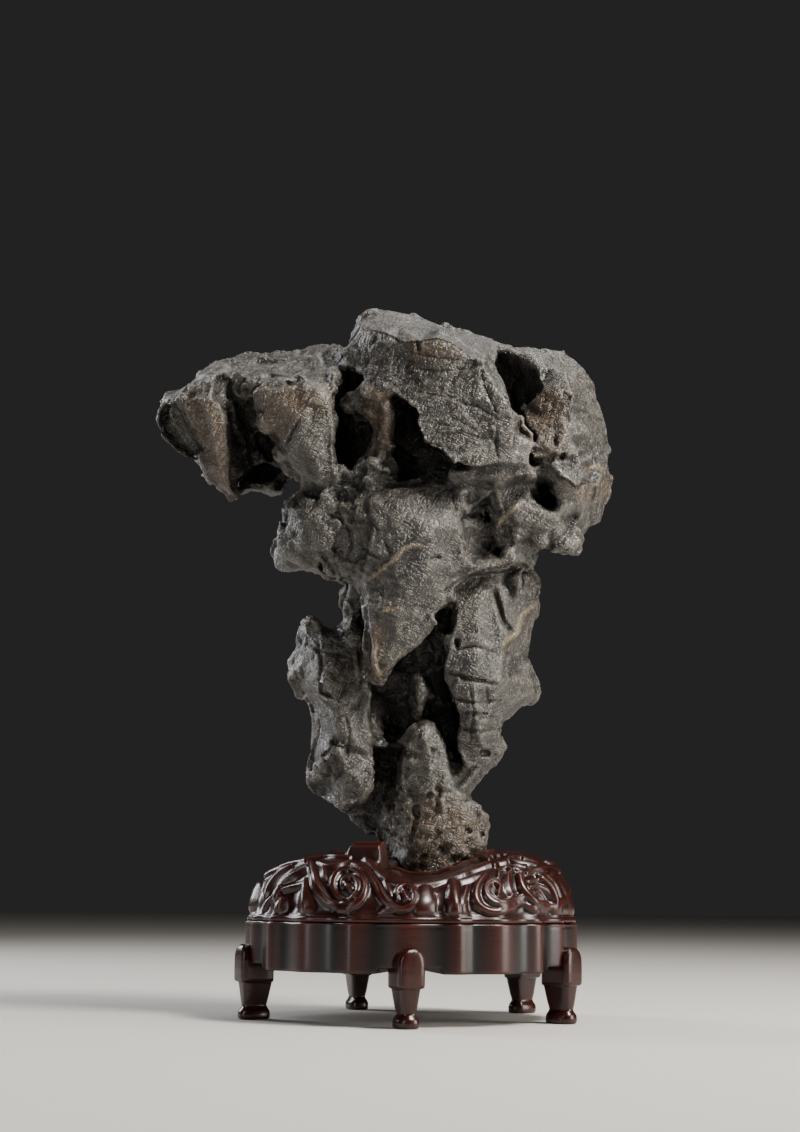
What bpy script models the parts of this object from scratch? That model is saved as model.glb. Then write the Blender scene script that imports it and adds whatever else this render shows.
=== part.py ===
"""A scholars' rock, resting in the well of its carved hardwood stand.

The rock is one natural stone. It is laid out on a front elevation as a heap of overlapping masses (arm, crown,
lobe, belly, tower, column, foot), each a closed lens between a front sheet and a back sheet drawn through its
own ridge lines, and the masses are fused into one skin. The stand is a domed top with a well, a lobed apron
and five bracket legs. Metres, +Z up, the front of the object faces -Y.
"""
import math

import bmesh
import bpy
from mathutils import Matrix, Vector
from mathutils.geometry import delaunay_2d_cdt

for old in list(bpy.data.objects):
    bpy.data.objects.remove(old, do_unlink=True)

MM = 0.001
GAP = 0.3 * MM                      # clearance between pieces that touch

# ---------------------------------------------------------------- the front elevation
# The elevation is drawn in squares, u to the right and v downwards, as seen by an eye in front of the stand.
# A third number gives the depth in mm towards the eye from the plane through the stand's axis.
EYE_DISTANCE = 1300 * MM
EYE_HEIGHT = 77.4 * MM
EYE_PITCH = math.radians(8.895)     # the eye looks slightly upwards
EYE_ROLL = 0.0085                   # and its level is out by half a degree
PICTURE_DISTANCE = 2073.0           # from the eye to the drawing, in squares
PICTURE_MIDDLE = (400.0, 566.0)
AXIS_U = 411.0                      # where the stand's axis meets the floor in the drawing
FLOOR_V = 1018.0


def sight_line(u, v):
    """The direction from the eye through one point of the drawing."""
    across, down = u - PICTURE_MIDDLE[0], v - PICTURE_MIDDLE[1]
    level_across = across * math.cos(EYE_ROLL) + down * math.sin(EYE_ROLL)
    level_down = down * math.cos(EYE_ROLL) - across * math.sin(EYE_ROLL)
    return Vector((level_across,
                   PICTURE_DISTANCE * math.cos(EYE_PITCH) + level_down * math.sin(EYE_PITCH),
                   PICTURE_DISTANCE * math.sin(EYE_PITCH) - level_down * math.cos(EYE_PITCH)))


def at(u, v, depth):
    """The place of a drawn point, with the stand's axis at x = y = 0 and the floor at z = 0."""
    axis = sight_line(AXIS_U, FLOOR_V)
    eye = Vector((-axis.x / axis.y * EYE_DISTANCE, -EYE_DISTANCE, EYE_HEIGHT))
    line = sight_line(u, v)
    return eye + line * ((EYE_DISTANCE - depth * MM) / line.y)


# ---------------------------------------------------------------- materials
def finish(name, colour, roughness):
    """A plain material for one kind of piece."""
    material = bpy.data.materials.new(name)
    material.use_nodes = True
    shader = material.node_tree.nodes["Principled BSDF"]
    shader.inputs["Base Color"].default_value = (*colour, 1.0)
    shader.inputs["Roughness"].default_value = roughness
    shader.inputs["Metallic"].default_value = 0.0
    return material


STONE = finish("waxed_limestone", (0.075, 0.062, 0.048), 0.45)
ROSEWOOD = finish("polished_rosewood", (0.060, 0.018, 0.012), 0.25)


def new_object(name, mesh, material):
    """Put a finished mesh in the scene under its piece's name."""
    mesh.materials.clear()
    mesh.materials.append(material)
    piece = bpy.data.objects.new(name, mesh)
    bpy.context.scene.collection.objects.link(piece)
    return piece


# ---------------------------------------------------------------- the rock's masses
# Each mass is its outline, the ridge and valley lines of its front, and those of its back.
CROWN = dict(
    outline=[(341, 352, 16), (344, 340, 8), (350, 328, 2), (357, 318, -2), (363, 311, -4), (373, 307.5, -5),
             (385, 310, -5), (402, 313, -8), (415, 316, -8), (430, 320, -10), (445, 324, -8), (455, 328, -6),
             (470, 331, -6), (480, 333, -4), (495, 338, 0), (503, 342, 6), (500, 352, 20), (494, 366, 34),
             (503, 384, 46), (512, 404, 54), (515, 422, 58), (513, 440, 60), (509, 455, 58), (498, 467, 56),
             (485, 468, 60), (474, 470, 62), (462, 468, 64), (454, 463, 64), (449, 456, 64), (440, 450, 64),
             (424, 445, 63), (421, 434, 63), (417, 424, 62), (417, 412, 60), (411, 405, 58), (400, 398, 54),
             (388, 393, 48), (372, 384, 38), (355, 374, 28), (343, 364, 24)],
    front=[[(364, 321, 20), (374, 330, 30), (386, 333, 40), (396, 342, 41), (404, 342, 46), (420, 340, 50),
            (437, 337, 52), (450, 341, 52), (462, 349, 52), (470, 357, 50), (484, 362, 46)],
           [(362, 345, 24), (380, 352, 32), (400, 358, 42), (425, 362, 52), (455, 372, 56), (480, 378, 53)],
           [(365, 368, 27), (392, 380, 44), (415, 390, 56), (450, 400, 62), (485, 405, 60)],
           [(432, 425, 66), (460, 442, 68), (492, 448, 63)]],
    back=[[(370, 330, -30), (400, 345, -46), (440, 355, -52), (480, 360, -46)],
          [(400, 375, -40), (450, 400, -48), (490, 410, -42)],
          [(440, 430, -30), (480, 440, -30)]])

RIGHT_LOBE = dict(
    outline=[(503, 342, 4), (512, 345, 2), (525, 343, -2), (538, 346, -5), (548, 345, -8), (560, 350, -10),
             (572, 358, -12), (583, 370, -12), (592, 385, -14), (598, 400, -14), (603, 420, -12),
             (606, 438, -12), (611, 452, -10), (613, 465, -8), (614, 478, -8), (611, 495, -8), (607, 508, -8),
             (603, 520, -4), (598, 526, 0), (588, 528, 6), (582, 533, 10), (581, 545, 12), (579, 553, 14),
             (573, 559, 16), (565, 556, 18), (560, 553, 20), (545, 551, 26), (532, 548, 30), (522, 552, 34),
             (515, 562, 34), (508, 567, 34), (501, 558, 32), (498, 540, 32), (496, 520, 34), (494, 495, 38),
             (500, 470, 40), (508, 455, 36), (513, 438, 26), (514, 420, 16), (510, 404, 8), (500, 386, 4),
             (492, 368, 2), (494, 352, 2)],
    front=[[(514, 352, 18), (528, 359, 26), (540, 366, 32), (545, 378, 38), (555, 390, 40), (568, 394, 36),
            (574, 404, 38), (567, 420, 44), (563, 434, 48), (552, 446, 50), (543, 458, 48)],
           [(503, 362, 6), (512, 375, 4), (522, 385, 6), (524, 400, 8), (520, 412, 12), (519, 430, 20),
            (522, 448, 34)],
           [(533, 376, 22), (536, 392, 28), (530, 406, 26), (528, 425, 32)],
           [(545, 464, 48), (558, 471, 50), (571, 482, 50), (585, 484, 40), (600, 479, 22), (608, 476, 4)],
           [(570, 497, 40), (585, 505, 32), (598, 506, 10)],
           [(507, 495, 42), (514, 508, 45), (520, 525, 44), (512, 545, 40), (508, 558, 37)],
           [(535, 526, 42), (550, 530, 40), (565, 537, 34), (573, 547, 24)],
           [(575, 375, 8), (588, 400, 12), (594, 430, 16), (600, 455, 12)],
           [(578, 430, 34), (586, 455, 32)],
           # the rim of the eye-shaped pocket, and its floor
           [(533, 481, 40), (531, 492, 41), (536, 505, 43), (546, 512, 43), (557, 514, 42), (561, 500, 42),
            (560, 487, 46), (551, 479, 46), (541, 477, 42), (533, 481, 40)],
           [(544, 487, 10), (546, 498, 8), (553, 500, 10)]],
    back=[[(530, 360, -34), (560, 380, -44), (585, 410, -46), (595, 450, -44), (590, 490, -36)],
          [(520, 400, -50), (545, 430, -58), (560, 470, -52), (555, 510, -40)],
          [(520, 470, -50), (515, 510, -38), (540, 530, -22), (565, 540, -8)]])

LEFT_ARM = dict(
    outline=[(152, 417, -6), (155, 405, -8), (158, 395, -12), (161, 388, -16), (168, 387, -20),
             (175, 389, -22), (182, 390, -24), (188, 387, -26), (197, 380, -28), (199, 374, -30),
             (204, 369, -32), (212, 363, -36), (220, 361, -38), (230, 358, -42), (245, 356, -46),
             (261, 355, -48), (272, 351, -50), (283, 350, -52), (292, 351, -52), (302, 346, -50),
             (312, 343, -48), (325, 341, -40), (337, 341, -25), (346, 345, -6), (352, 360, 8),
             (346, 378, 14), (336, 400, 10), (315, 430, 0), (302, 470, -8), (284, 502, -12),
             (262, 498, -20), (245, 498, -18), (238, 501, -8), (228, 502, -5), (222, 495, -2),
             (212, 486, 0), (200, 470, 0), (190, 461, -2), (184, 459, -3), (174, 453, -4), (168, 446, -5),
             (160, 440, -6), (155, 430, -6)],
    front=[[(163, 400, 0), (170, 409, 5), (178, 396, 5), (190, 388, 5), (200, 377, 4), (212, 373, 8),
            (224, 372, 12)],
           [(240, 388, 14), (250, 384, 16), (262, 381, 20), (282, 382, 24), (300, 381, 26), (318, 382, 28),
            (332, 377, 24)],
           [(229, 366, -20), (231, 380, -12), (233, 396, -12)],
           [(215, 367, -14), (224, 365, -18)],
           [(240, 368, -14), (262, 367, -12), (280, 365, -14), (300, 361, -16), (322, 357, -12)],
           [(188, 402, 9), (200, 400, 13), (212, 406, 15), (222, 415, 15), (226, 440, 13), (230, 465, 9),
            (230, 484, 2)],
           [(192, 427, 6), (200, 442, 6), (208, 464, 4), (219, 485, 0)],
           [(162, 412, 2), (168, 428, 2), (178, 442, 0)],
           [(242, 408, -16), (248, 430, -24), (250, 460, -26), (248, 482, -22)],
           [(270, 430, -22), (276, 470, -20)]],
    back=[[(175, 405, -34), (200, 400, -50), (240, 395, -62), (290, 390, -66), (325, 385, -60)],
          [(190, 430, -28), (220, 450, -40), (245, 460, -46), (270, 455, -50)]])

LEFT_FACE = dict(
    outline=[(257, 397, 6), (263, 387, 16), (282, 384, 24), (300, 383, 28), (318, 385, 30), (332, 385, 26),
             (338, 400, 22), (339, 425, 26), (335, 445, 28), (338, 465, 28), (341, 490, 26), (344, 508, 24),
             (328, 507, 24), (312, 500, 20), (301, 490, 16), (297, 480, 12), (285, 473, 8), (272, 460, 4),
             (278, 450, 8), (262, 430, 2), (257, 410, 2)],
    front=[[(275, 396, 26), (300, 396, 34), (322, 397, 35)],
           [(272, 420, 20), (300, 418, 38), (328, 422, 38)],
           [(287, 445, 24), (302, 450, 36), (327, 455, 38)],
           [(303, 470, 28), (328, 482, 36)]],
    back=[[(300, 420, -30), (310, 460, -30)]])

PILLAR = dict(
    outline=[(362, 386, 30), (372, 378, 34), (384, 378, 38), (398, 388, 40), (394, 396, 40), (396, 408, 40),
             (396, 425, 38), (393, 440, 36), (397, 455, 34), (402, 470, 30), (400, 492, 30), (380, 500, 34),
             (360, 495, 30), (352, 480, 26), (357, 464, 26), (366, 452, 28), (372, 440, 30), (370, 424, 32),
             (358, 414, 28), (348, 406, 22), (352, 396, 22)],
    front=[[(372, 390, 40), (382, 402, 46), (388, 418, 46), (384, 436, 42), (382, 452, 40), (376, 470, 42),
            (380, 486, 44)]],
    back=[[(375, 405, 0), (384, 430, 0), (378, 470, 0)]])

BELLY = dict(
    outline=[(332, 500, 24), (345, 490, 26), (360, 486, 30), (380, 484, 36), (400, 480, 34), (425, 476, 34),
             (455, 474, 36), (480, 472, 38), (500, 472, 40), (512, 480, 40), (518, 498, 40), (512, 515, 38),
             (502, 532, 36), (498, 548, 36), (490, 560, 36), (475, 567, 38), (455, 578, 42), (444, 590, 46),
             (446, 600, 46), (440, 612, 45), (433, 632, 43), (426, 640, 42), (412, 652, 41), (400, 664, 39),
             (392, 676, 37), (384, 686, 35), (374, 690, 32), (366, 684, 30), (363, 670, 30), (366, 650, 30),
             (364, 630, 28), (362, 610, 24), (358, 596, 18), (352, 586, 14), (336, 580, 12), (322, 570, 14),
             (312, 555, 14), (306, 535, 14), (312, 515, 16)],
    front=[[(350, 502, 34), (375, 500, 44), (400, 498, 48), (430, 496, 50), (465, 492, 48), (495, 488, 46)],
           [(345, 525, 38), (370, 525, 50), (400, 528, 58), (430, 530, 60), (460, 528, 54), (485, 520, 45)],
           [(366, 579, 46), (383, 568, 54), (402, 550, 58), (425, 547, 60)],
           [(440, 560, 56), (460, 556, 48), (480, 550, 40)],
           [(350, 560, 34), (362, 590, 36), (372, 615, 44), (376, 645, 46), (377, 672, 40)],
           [(400, 585, 54), (410, 610, 52), (405, 635, 46), (395, 655, 40)],
           [(430, 585, 50), (435, 605, 46), (426, 625, 43)]],
    back=[[(400, 520, -10), (440, 555, -10)],
          [(385, 600, -10), (385, 640, -6)]])

LEFT_BLOCK = dict(
    outline=[(300, 488, 10), (285, 496, 0), (281, 503, -4), (281, 520, -6), (278, 530, -8), (274, 542, -10),
             (269, 553, -12), (272, 563, -12), (278, 573, -10), (285, 574, -6), (300, 572, 4), (320, 577, 8),
             (335, 582, 10), (345, 580, 14), (362, 570, 24), (360, 540, 30), (350, 515, 28), (332, 500, 26),
             (315, 494, 20)],
    front=[[(286, 525, 6), (280, 545, 4), (282, 562, 2)],
           [(300, 510, 24), (298, 535, 26), (302, 560, 20)],
           [(325, 515, 34), (322, 540, 36), (330, 565, 24)]],
    back=[[(300, 515, -38), (318, 545, -40)],
          [(288, 545, -28), (292, 560, -26)]])

SPUR = dict(
    outline=[(336, 578, -5), (341, 597, -10), (343, 610, -10), (345, 618, -8), (335, 623, -6), (332, 626, -4),
             (345, 640, 4), (358, 640, 8), (368, 625, 14), (368, 600, 14), (362, 584, 12), (350, 576, 6)],
    front=[[(347, 598, 4), (353, 612, 8), (350, 628, 8)]],
    back=[[(352, 602, -34), (356, 620, -34)]])

TOWER = dict(
    outline=[(300, 618, -4), (309, 613, -4), (316, 616, -4), (320, 622, -4), (324, 626, -4), (332, 627, -2),
             (345, 632, 4), (360, 640, 12), (372, 660, 20), (374, 690, 24), (372, 714, 25), (370, 740, 26),
             (373, 760, 26), (375, 785, 27), (370, 802, 26), (352, 811, 24), (338, 810, 16), (330, 806, 6),
             (322, 802, 0), (312, 797, -6), (305, 784, -10), (301, 778, -12), (304, 765, -8), (309, 755, -6),
             (310, 740, -8), (312, 725, -8), (311, 712, -8), (307, 702, -8), (298, 695, -8), (292, 680, -10),
             (288, 662, -12), (291, 655, -10), (296, 640, -8), (297, 625, -6)],
    front=[[(308, 625, 8), (310, 645, 14), (312, 665, 18), (318, 690, 22), (322, 710, 18), (322, 735, 14),
            (318, 755, 12)],
           [(325, 640, 18), (330, 665, 24), (332, 690, 30), (340, 715, 32), (345, 740, 32), (348, 765, 34),
            (352, 790, 36), (350, 803, 30)],
           [(350, 645, 16), (352, 668, 20), (356, 690, 24), (360, 715, 26), (362, 740, 26)],
           [(316, 772, 2), (322, 788, 0)]],
    back=[[(312, 640, -30), (325, 680, -38), (335, 720, -38), (340, 770, -36), (345, 795, -26)],
          [(350, 660, -30), (352, 700, -34), (354, 760, -34)]])

COLUMN = dict(
    outline=[(446, 584, 30), (455, 576, 28), (475, 562, 22), (495, 552, 18), (515, 548, 12), (532, 548, 4),
             (534, 560, -2), (537, 570, -6), (543, 585, -8), (543, 600, -8), (541, 615, -8), (534, 630, -6),
             (531, 645, -6), (529, 662, -6), (533, 672, -8), (540, 683, -10), (541, 692, -10), (538, 702, -8),
             (530, 706, -4), (520, 710, 2), (512, 720, 6), (504, 723, 8), (503, 735, 6), (509, 742, 2),
             (509, 750, 0), (506, 758, 0), (500, 763, 4), (490, 770, 6), (483, 780, 6), (475, 790, 6),
             (469, 799, 10), (458, 792, 22), (461, 772, 28), (459, 752, 34), (455, 735, 37), (457, 712, 38),
             (453, 694, 38), (440, 691, 36), (440, 676, 34), (441, 662, 33), (445, 645, 33), (449, 632, 33),
             (448, 612, 33), (450, 600, 32)],
    front=[[(465, 590, 34), (468, 620, 38), (462, 645, 38), (455, 660, 36)],
           [(490, 580, 30), (491, 600, 32), (496, 620, 30), (507, 636, 22)],
           [(505, 575, 26), (512, 600, 26), (522, 618, 20), (517, 640, 22)],
           [(475, 660, 42), (478, 690, 45), (480, 720, 45), (478, 745, 40), (471, 765, 32)],
           [(505, 665, 32), (520, 680, 24), (530, 692, 12)],
           [(500, 700, 34), (497, 730, 26), (496, 748, 20)]],
    back=[[(480, 600, -34), (488, 650, -44), (487, 700, -40), (482, 745, -32), (472, 775, -20)],
          [(515, 580, -34), (512, 630, -34), (518, 680, -34)]])

FOOT = dict(
    outline=[(404, 742, 26), (408, 728, 30), (420, 720, 30), (430, 719, 30), (440, 724, 28), (446, 730, 26),
             (447, 742, 24), (453, 755, 22), (462, 768, 18), (470, 790, 8), (469, 799, 4), (480, 806, -4),
             (490, 815, -8), (492, 825, -10), (489, 840, -10), (488, 852, -8), (484, 880, -5),
             (470, 898, 0), (420, 898, 0), (400, 885, 0), (392, 870, -5), (388, 855, -8), (380, 842, -10),
             (376, 825, -8), (380, 805, 0), (390, 785, 6), (398, 765, 14), (402, 752, 20)],
    front=[[(424, 730, 40), (420, 752, 43), (418, 780, 38), (418, 810, 35), (420, 840, 35), (422, 880, 33)],
           [(437, 745, 38), (444, 775, 34), (450, 805, 34), (455, 835, 34), (455, 880, 32)],
           [(472, 815, 22), (475, 840, 22), (472, 880, 20)],
           [(405, 765, 28), (402, 800, 24), (402, 835, 26), (404, 872, 26)]],
    back=[[(420, 745, -24), (425, 780, -34), (430, 830, -38), (435, 875, -34)],
          [(460, 800, -28), (466, 830, -30), (464, 872, -28)]])

SPINE = dict(
    outline=[(411, 722, 14), (410, 700, 10), (408, 684, 8), (412, 678, 8), (422, 678, 8), (428, 684, 8),
             (430, 692, 10), (434, 694, 10), (430, 706, 12), (430, 722, 16)],
    front=[[(420, 688, 18), (420, 705, 22), (421, 716, 24)]],
    back=[[(420, 690, -20), (420, 710, -20)]])

CORE = dict(
    outline=[(345, 352, -10), (375, 330, -12), (440, 335, -14), (500, 350, -12), (555, 370, -16),
             (585, 410, -20), (595, 455, -20), (590, 500, -16), (565, 520, -10), (540, 530, -8),
             (525, 545, -6), (528, 575, -10), (530, 600, -12), (522, 640, -12), (522, 670, -14),
             (525, 690, -14), (505, 705, -8), (495, 725, -6), (497, 745, -8), (480, 768, -6), (466, 790, -6),
             (478, 815, -14), (480, 850, -14), (474, 885, -12), (402, 885, -12), (393, 865, -12),
             (387, 850, -14), (378, 841, -16), (365, 836, -18), (350, 826, -20), (337, 814, -22),
             (325, 790, -22), (318, 760, -20), (322, 730, -18), (318, 700, -18), (302, 680, -20),
             (302, 650, -20), (312, 630, -16), (340, 632, -12), (352, 620, -14), (350, 600, -14),
             (345, 586, -14), (320, 570, -14), (290, 562, -20), (286, 540, -18), (290, 515, -18),
             (300, 495, -18), (310, 460, -20), (305, 420, -24), (290, 395, -40), (300, 370, -50),
             (320, 357, -40)],
    front=[[(345, 388, 6), (352, 404, 6), (355, 435, 2), (356, 460, 6)],
           [(406, 412, 10), (407, 445, 10), (432, 462, 12), (470, 478, 16)],
           [(441, 620, 8), (425, 650, 2), (405, 675, -2), (393, 700, -6), (400, 728, -6)],
           [(371, 722, 12), (378, 733, 12), (388, 745, 8)],
           [(442, 706, -4), (450, 730, -2), (456, 755, 2)],
           [(384, 758, -6), (388, 790, -4), (384, 822, -6)],
           [(515, 395, 0), (520, 440, 8)],
           [(340, 540, 12), (400, 545, 22), (480, 545, 12)],
           [(480, 600, 12), (482, 650, 14), (480, 700, 12)],
           [(338, 670, 4), (342, 720, 6), (345, 775, 4)],
           [(436, 800, 10), (438, 850, 12)]],
    back=[[(365, 368, -44), (400, 372, -62), (432, 395, -72), (438, 430, -70)],
          [(470, 375, -48), (476, 410, -42), (468, 445, -42)],
          [(515, 385, -58), (532, 420, -70), (526, 455, -73), (500, 478, -70), (460, 505, -70),
           (425, 545, -66), (400, 590, -58), (384, 640, -50), (388, 700, -54), (405, 745, -48),
           (425, 790, -46), (432, 840, -42)],
          [(560, 420, -48), (565, 460, -42)],
          [(345, 400, -36), (352, 440, -26), (350, 480, -28)],
          [(325, 475, -44), (322, 520, -50), (345, 560, -46)],
          [(385, 470, -40), (388, 505, -38), (368, 555, -34)],
          [(490, 530, -48), (470, 560, -34), (455, 600, -18), (448, 640, -12), (446, 680, -18), (452, 725, -30)],
          [(508, 575, -38), (500, 610, -50), (491, 660, -54), (489, 700, -48), (474, 745, -38)],
          [(335, 680, -40), (337, 720, -46), (345, 770, -40)],
          [(361, 690, -30), (365, 740, -26), (374, 790, -28)],
          [(456, 800, -30), (458, 850, -34)]])

MASSES = [CROWN, RIGHT_LOBE, LEFT_ARM, LEFT_FACE, PILLAR, BELLY, LEFT_BLOCK, SPUR, TOWER, COLUMN, FOOT,
          SPINE, CORE]

SKIN_VOXEL = 2.2 * MM               # the size at which the masses fuse
SKIN_SMOOTHING = 3                  # passes that round the drawn creases like worn stone
ROCK_TRIANGLES = 5600
EAR_BULGE = 4.0                     # mm
FOOT_LEVEL = 76.0 * MM              # the height of the foot's underside, in the stand's well


def add_sheet(mesh, outline, lines, rim, front):
    """Stretch one sheet of triangles through a mass's outline and ridge lines."""
    points = [p[:2] for p in outline]
    depths = [p[2] for p in outline]
    edges = [(i, (i + 1) % len(outline)) for i in range(len(outline))]
    for line in lines:
        first = len(points)
        closed = line[0] == line[-1]
        kept = line[:-1] if closed else line
        points += [p[:2] for p in kept]
        depths += [p[2] for p in kept]
        edges += [(first + i, first + i + 1) for i in range(len(kept) - 1)]
        if closed:
            edges.append((first + len(kept) - 1, first))
    ring = list(range(len(outline)))
    flat, _, faces, origins, _, _ = delaunay_2d_cdt([Vector(p) for p in points], edges, [ring], 1, 1e-4)
    corners = []
    for place, origin in zip(flat, origins):
        if origin and origin[0] < len(outline):
            corners.append(rim[origin[0]])
            continue
        if not origin:
            raise ValueError("ridge lines cross near %s" % (tuple(place),))
        corners.append(mesh.verts.new(at(place.x, place.y, depths[origin[0]])))
    for face in faces:
        loop = [corners[i] for i in face]
        area = sum(flat[face[i - 1]].cross(flat[face[i]]) for i in range(len(face)))
        if (area > 0) == front:
            loop.reverse()
        if front or any(origins[i][0] >= len(outline) for i in face):
            mesh.faces.new(loop)
            continue
        # a corner of the back sheet that touches only the rim would lie on the front sheet: it bulges instead
        middle = (flat[face[0]] + flat[face[1]] + flat[face[2]]) / 3
        depth = sum(depths[origins[i][0]] for i in face) / 3 - EAR_BULGE
        peak = mesh.verts.new(at(middle.x, middle.y, depth))
        for i in range(3):
            mesh.faces.new((loop[i - 1], loop[i], peak))


def add_mass(mesh, mass):
    """Add one closed lens, its front and back sheets sharing the outline."""
    rim = [mesh.verts.new(at(*p)) for p in mass["outline"]]
    add_sheet(mesh, mass["outline"], mass["front"], rim, True)
    add_sheet(mesh, mass["outline"], mass["back"], rim, False)


def evaluated_copy(piece):
    """The piece's mesh with its modifiers applied."""
    bpy.context.view_layer.update()
    depsgraph = bpy.context.evaluated_depsgraph_get()
    return bpy.data.meshes.new_from_object(piece.evaluated_get(depsgraph))


def keep_largest_shell(mesh):
    """Delete every closed shell but the one with the most faces: gaps sealed inside the stone go."""
    bm = bmesh.new()
    bm.from_mesh(mesh)
    unseen = set(bm.faces)
    shells = []
    while unseen:
        shell, border = [], [unseen.pop()]
        while border:
            face = border.pop()
            shell.append(face)
            for edge in face.edges:
                for neighbour in edge.link_faces:
                    if neighbour in unseen:
                        unseen.remove(neighbour)
                        border.append(neighbour)
        shells.append(shell)
    shells.sort(key=len, reverse=True)
    for shell in shells[1:]:
        bmesh.ops.delete(bm, geom=shell, context="FACES")
    bm.to_mesh(mesh)
    bm.free()


def build_rock():
    """Fuse the masses, round them, and cut the foot off level."""
    bm = bmesh.new()
    for mass in MASSES:
        add_mass(bm, mass)
    heap = bpy.data.meshes.new("masses")
    bm.to_mesh(heap)
    bm.free()
    rough = new_object("rough_rock", heap, STONE)
    fuse = rough.modifiers.new("fuse", "REMESH")
    fuse.mode = "VOXEL"
    fuse.voxel_size = SKIN_VOXEL
    fuse.adaptivity = 0.0
    wear = rough.modifiers.new("wear", "SMOOTH")
    wear.factor = 0.5
    wear.iterations = SKIN_SMOOTHING
    skin = evaluated_copy(rough)
    bpy.data.objects.remove(rough, do_unlink=True)
    keep_largest_shell(skin)
    bm = bmesh.new()
    bm.from_mesh(skin)
    cut = bmesh.ops.bisect_plane(bm, geom=bm.verts[:] + bm.edges[:] + bm.faces[:], dist=1e-6,
                                 plane_co=(0, 0, FOOT_LEVEL), plane_no=(0, 0, -1), clear_outer=True)
    rim = [e for e in cut["geom_cut"] if isinstance(e, bmesh.types.BMEdge)]
    bmesh.ops.holes_fill(bm, edges=rim, sides=0)
    bmesh.ops.triangulate(bm, faces=bm.faces[:])
    bm.to_mesh(skin)
    bm.free()
    full = new_object("full_rock", skin, STONE)
    thin = full.modifiers.new("thin", "DECIMATE")
    thin.ratio = ROCK_TRIANGLES / len(skin.polygons)
    rock = evaluated_copy(full)
    bpy.data.objects.remove(full, do_unlink=True)
    rock.shade_smooth()
    return new_object("rock", rock, STONE)



# ---------------------------------------------------------------- the stand
APRON_RADIUS = 102.5 * MM
DOME_RADIUS = 101.0 * MM
SCALLOP = 3.2 * MM                  # how far the plan dips between two lobes
LOBE_STEPS = 4                      # points along one lobe
VALLEYS = (15, 31, 52, 68, 88, 105, 126, 143, 160, 176, 191, 206.6, 221.4, 241.3, 258.1, 279.2, 290.8,
           310.5, 323.3, 340, 357)  # where the plan dips, degrees from +X, counterclockwise from above
APRON_BOTTOM = 30.2 * MM
APRON_TOP = 58.4 * MM
EASED_EDGE = 1.0 * MM
BEAD_STEP = 3.4 * MM                # height of the bead moulding at the foot of the dome
BEAD_PROUD = 1.2 * MM
WALL_TOP = 65.0 * MM                # where the dome's side starts to round over


def plan_angles():
    """The angles of the plan's points, and how deep each lies between two lobes, from 0 to 1."""
    pairs = []
    for i, start in enumerate(VALLEYS):
        span = (VALLEYS[(i + 1) % len(VALLEYS)] - start) % 360
        for step in range(LOBE_STEPS):
            t = step / LOBE_STEPS
            pairs.append((math.radians(start + span * t), 1 - math.sin(math.pi * t) ** 0.7))
    return pairs


def ring(mesh, radius, height, scallop=SCALLOP):
    """One closed ring of the lobed plan."""
    return [mesh.verts.new(((radius - scallop * dip) * math.cos(angle),
                            (radius - scallop * dip) * math.sin(angle), height))
            for angle, dip in plan_angles()]


def join_rings(mesh, rings, bottom=True, top=True):
    """Bridge rings from the lowest up, and close the ends with a fan."""
    count = len(rings[0])
    for low, high in zip(rings, rings[1:]):
        for i in range(count):
            j = (i + 1) % count
            mesh.faces.new((low[i], low[j], high[j], high[i]))
    for ring_verts, wanted, up in ((rings[0], bottom, False), (rings[-1], top, True)):
        if wanted:
            centre = mesh.verts.new(sum((v.co for v in ring_verts), Vector()) / count)
            for i in range(count):
                a, b = ring_verts[i], ring_verts[(i + 1) % count]
                mesh.faces.new((a, b, centre) if up else (b, a, centre))


def finished_mesh(name, bm):
    """Turn a bmesh of triangles into a mesh."""
    bmesh.ops.triangulate(bm, faces=bm.faces[:])
    mesh = bpy.data.meshes.new(name)
    bm.to_mesh(mesh)
    bm.free()
    return mesh


def build_apron():
    """The board under the dome: straight lobed sides with a slightly eased lower edge."""
    bm = bmesh.new()
    join_rings(bm, [ring(bm, APRON_RADIUS - EASED_EDGE, APRON_BOTTOM),
                    ring(bm, APRON_RADIUS, APRON_BOTTOM + EASED_EDGE),
                    ring(bm, APRON_RADIUS, APRON_TOP)])
    return new_object("stand_apron", finished_mesh("stand_apron", bm), ROSEWOOD)


# The dome's crest, degrees from +X and height in mm: it dips in front, where the stone's foot shows.
CREST = ((0, 104.0), (45, 102.0), (90, 102.0), (135, 102.0), (180, 102.5), (225, 101.0), (243, 98.0),
         (258, 92.0), (270, 89.0), (282, 89.0), (296, 92.0), (313, 96.5), (332, 101.0), (360, 104.0))
CREST_RADIUS = 57 * MM
CROWN_RADIUS = 30 * MM              # inside the crest the top is nearly level
CROWN_DIP = 1.5 * MM
SHOULDER_POWER = 1.75
SHOULDER = (0.0, 0.14, 0.32, 0.52, 0.74, 1.0)    # steps round the shoulder, from the wall to the crest


def crest_height(angle):
    """Height of the dome's crest at one angle, eased between the listed ones."""
    degrees = math.degrees(angle) % 360
    for (a, low), (b, high) in zip(CREST, CREST[1:]):
        if a <= degrees <= b:
            t = (degrees - a) / (b - a)
            return (low + (high - low) * t * t * (3 - 2 * t)) * MM
    return CREST[0][1] * MM


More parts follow.
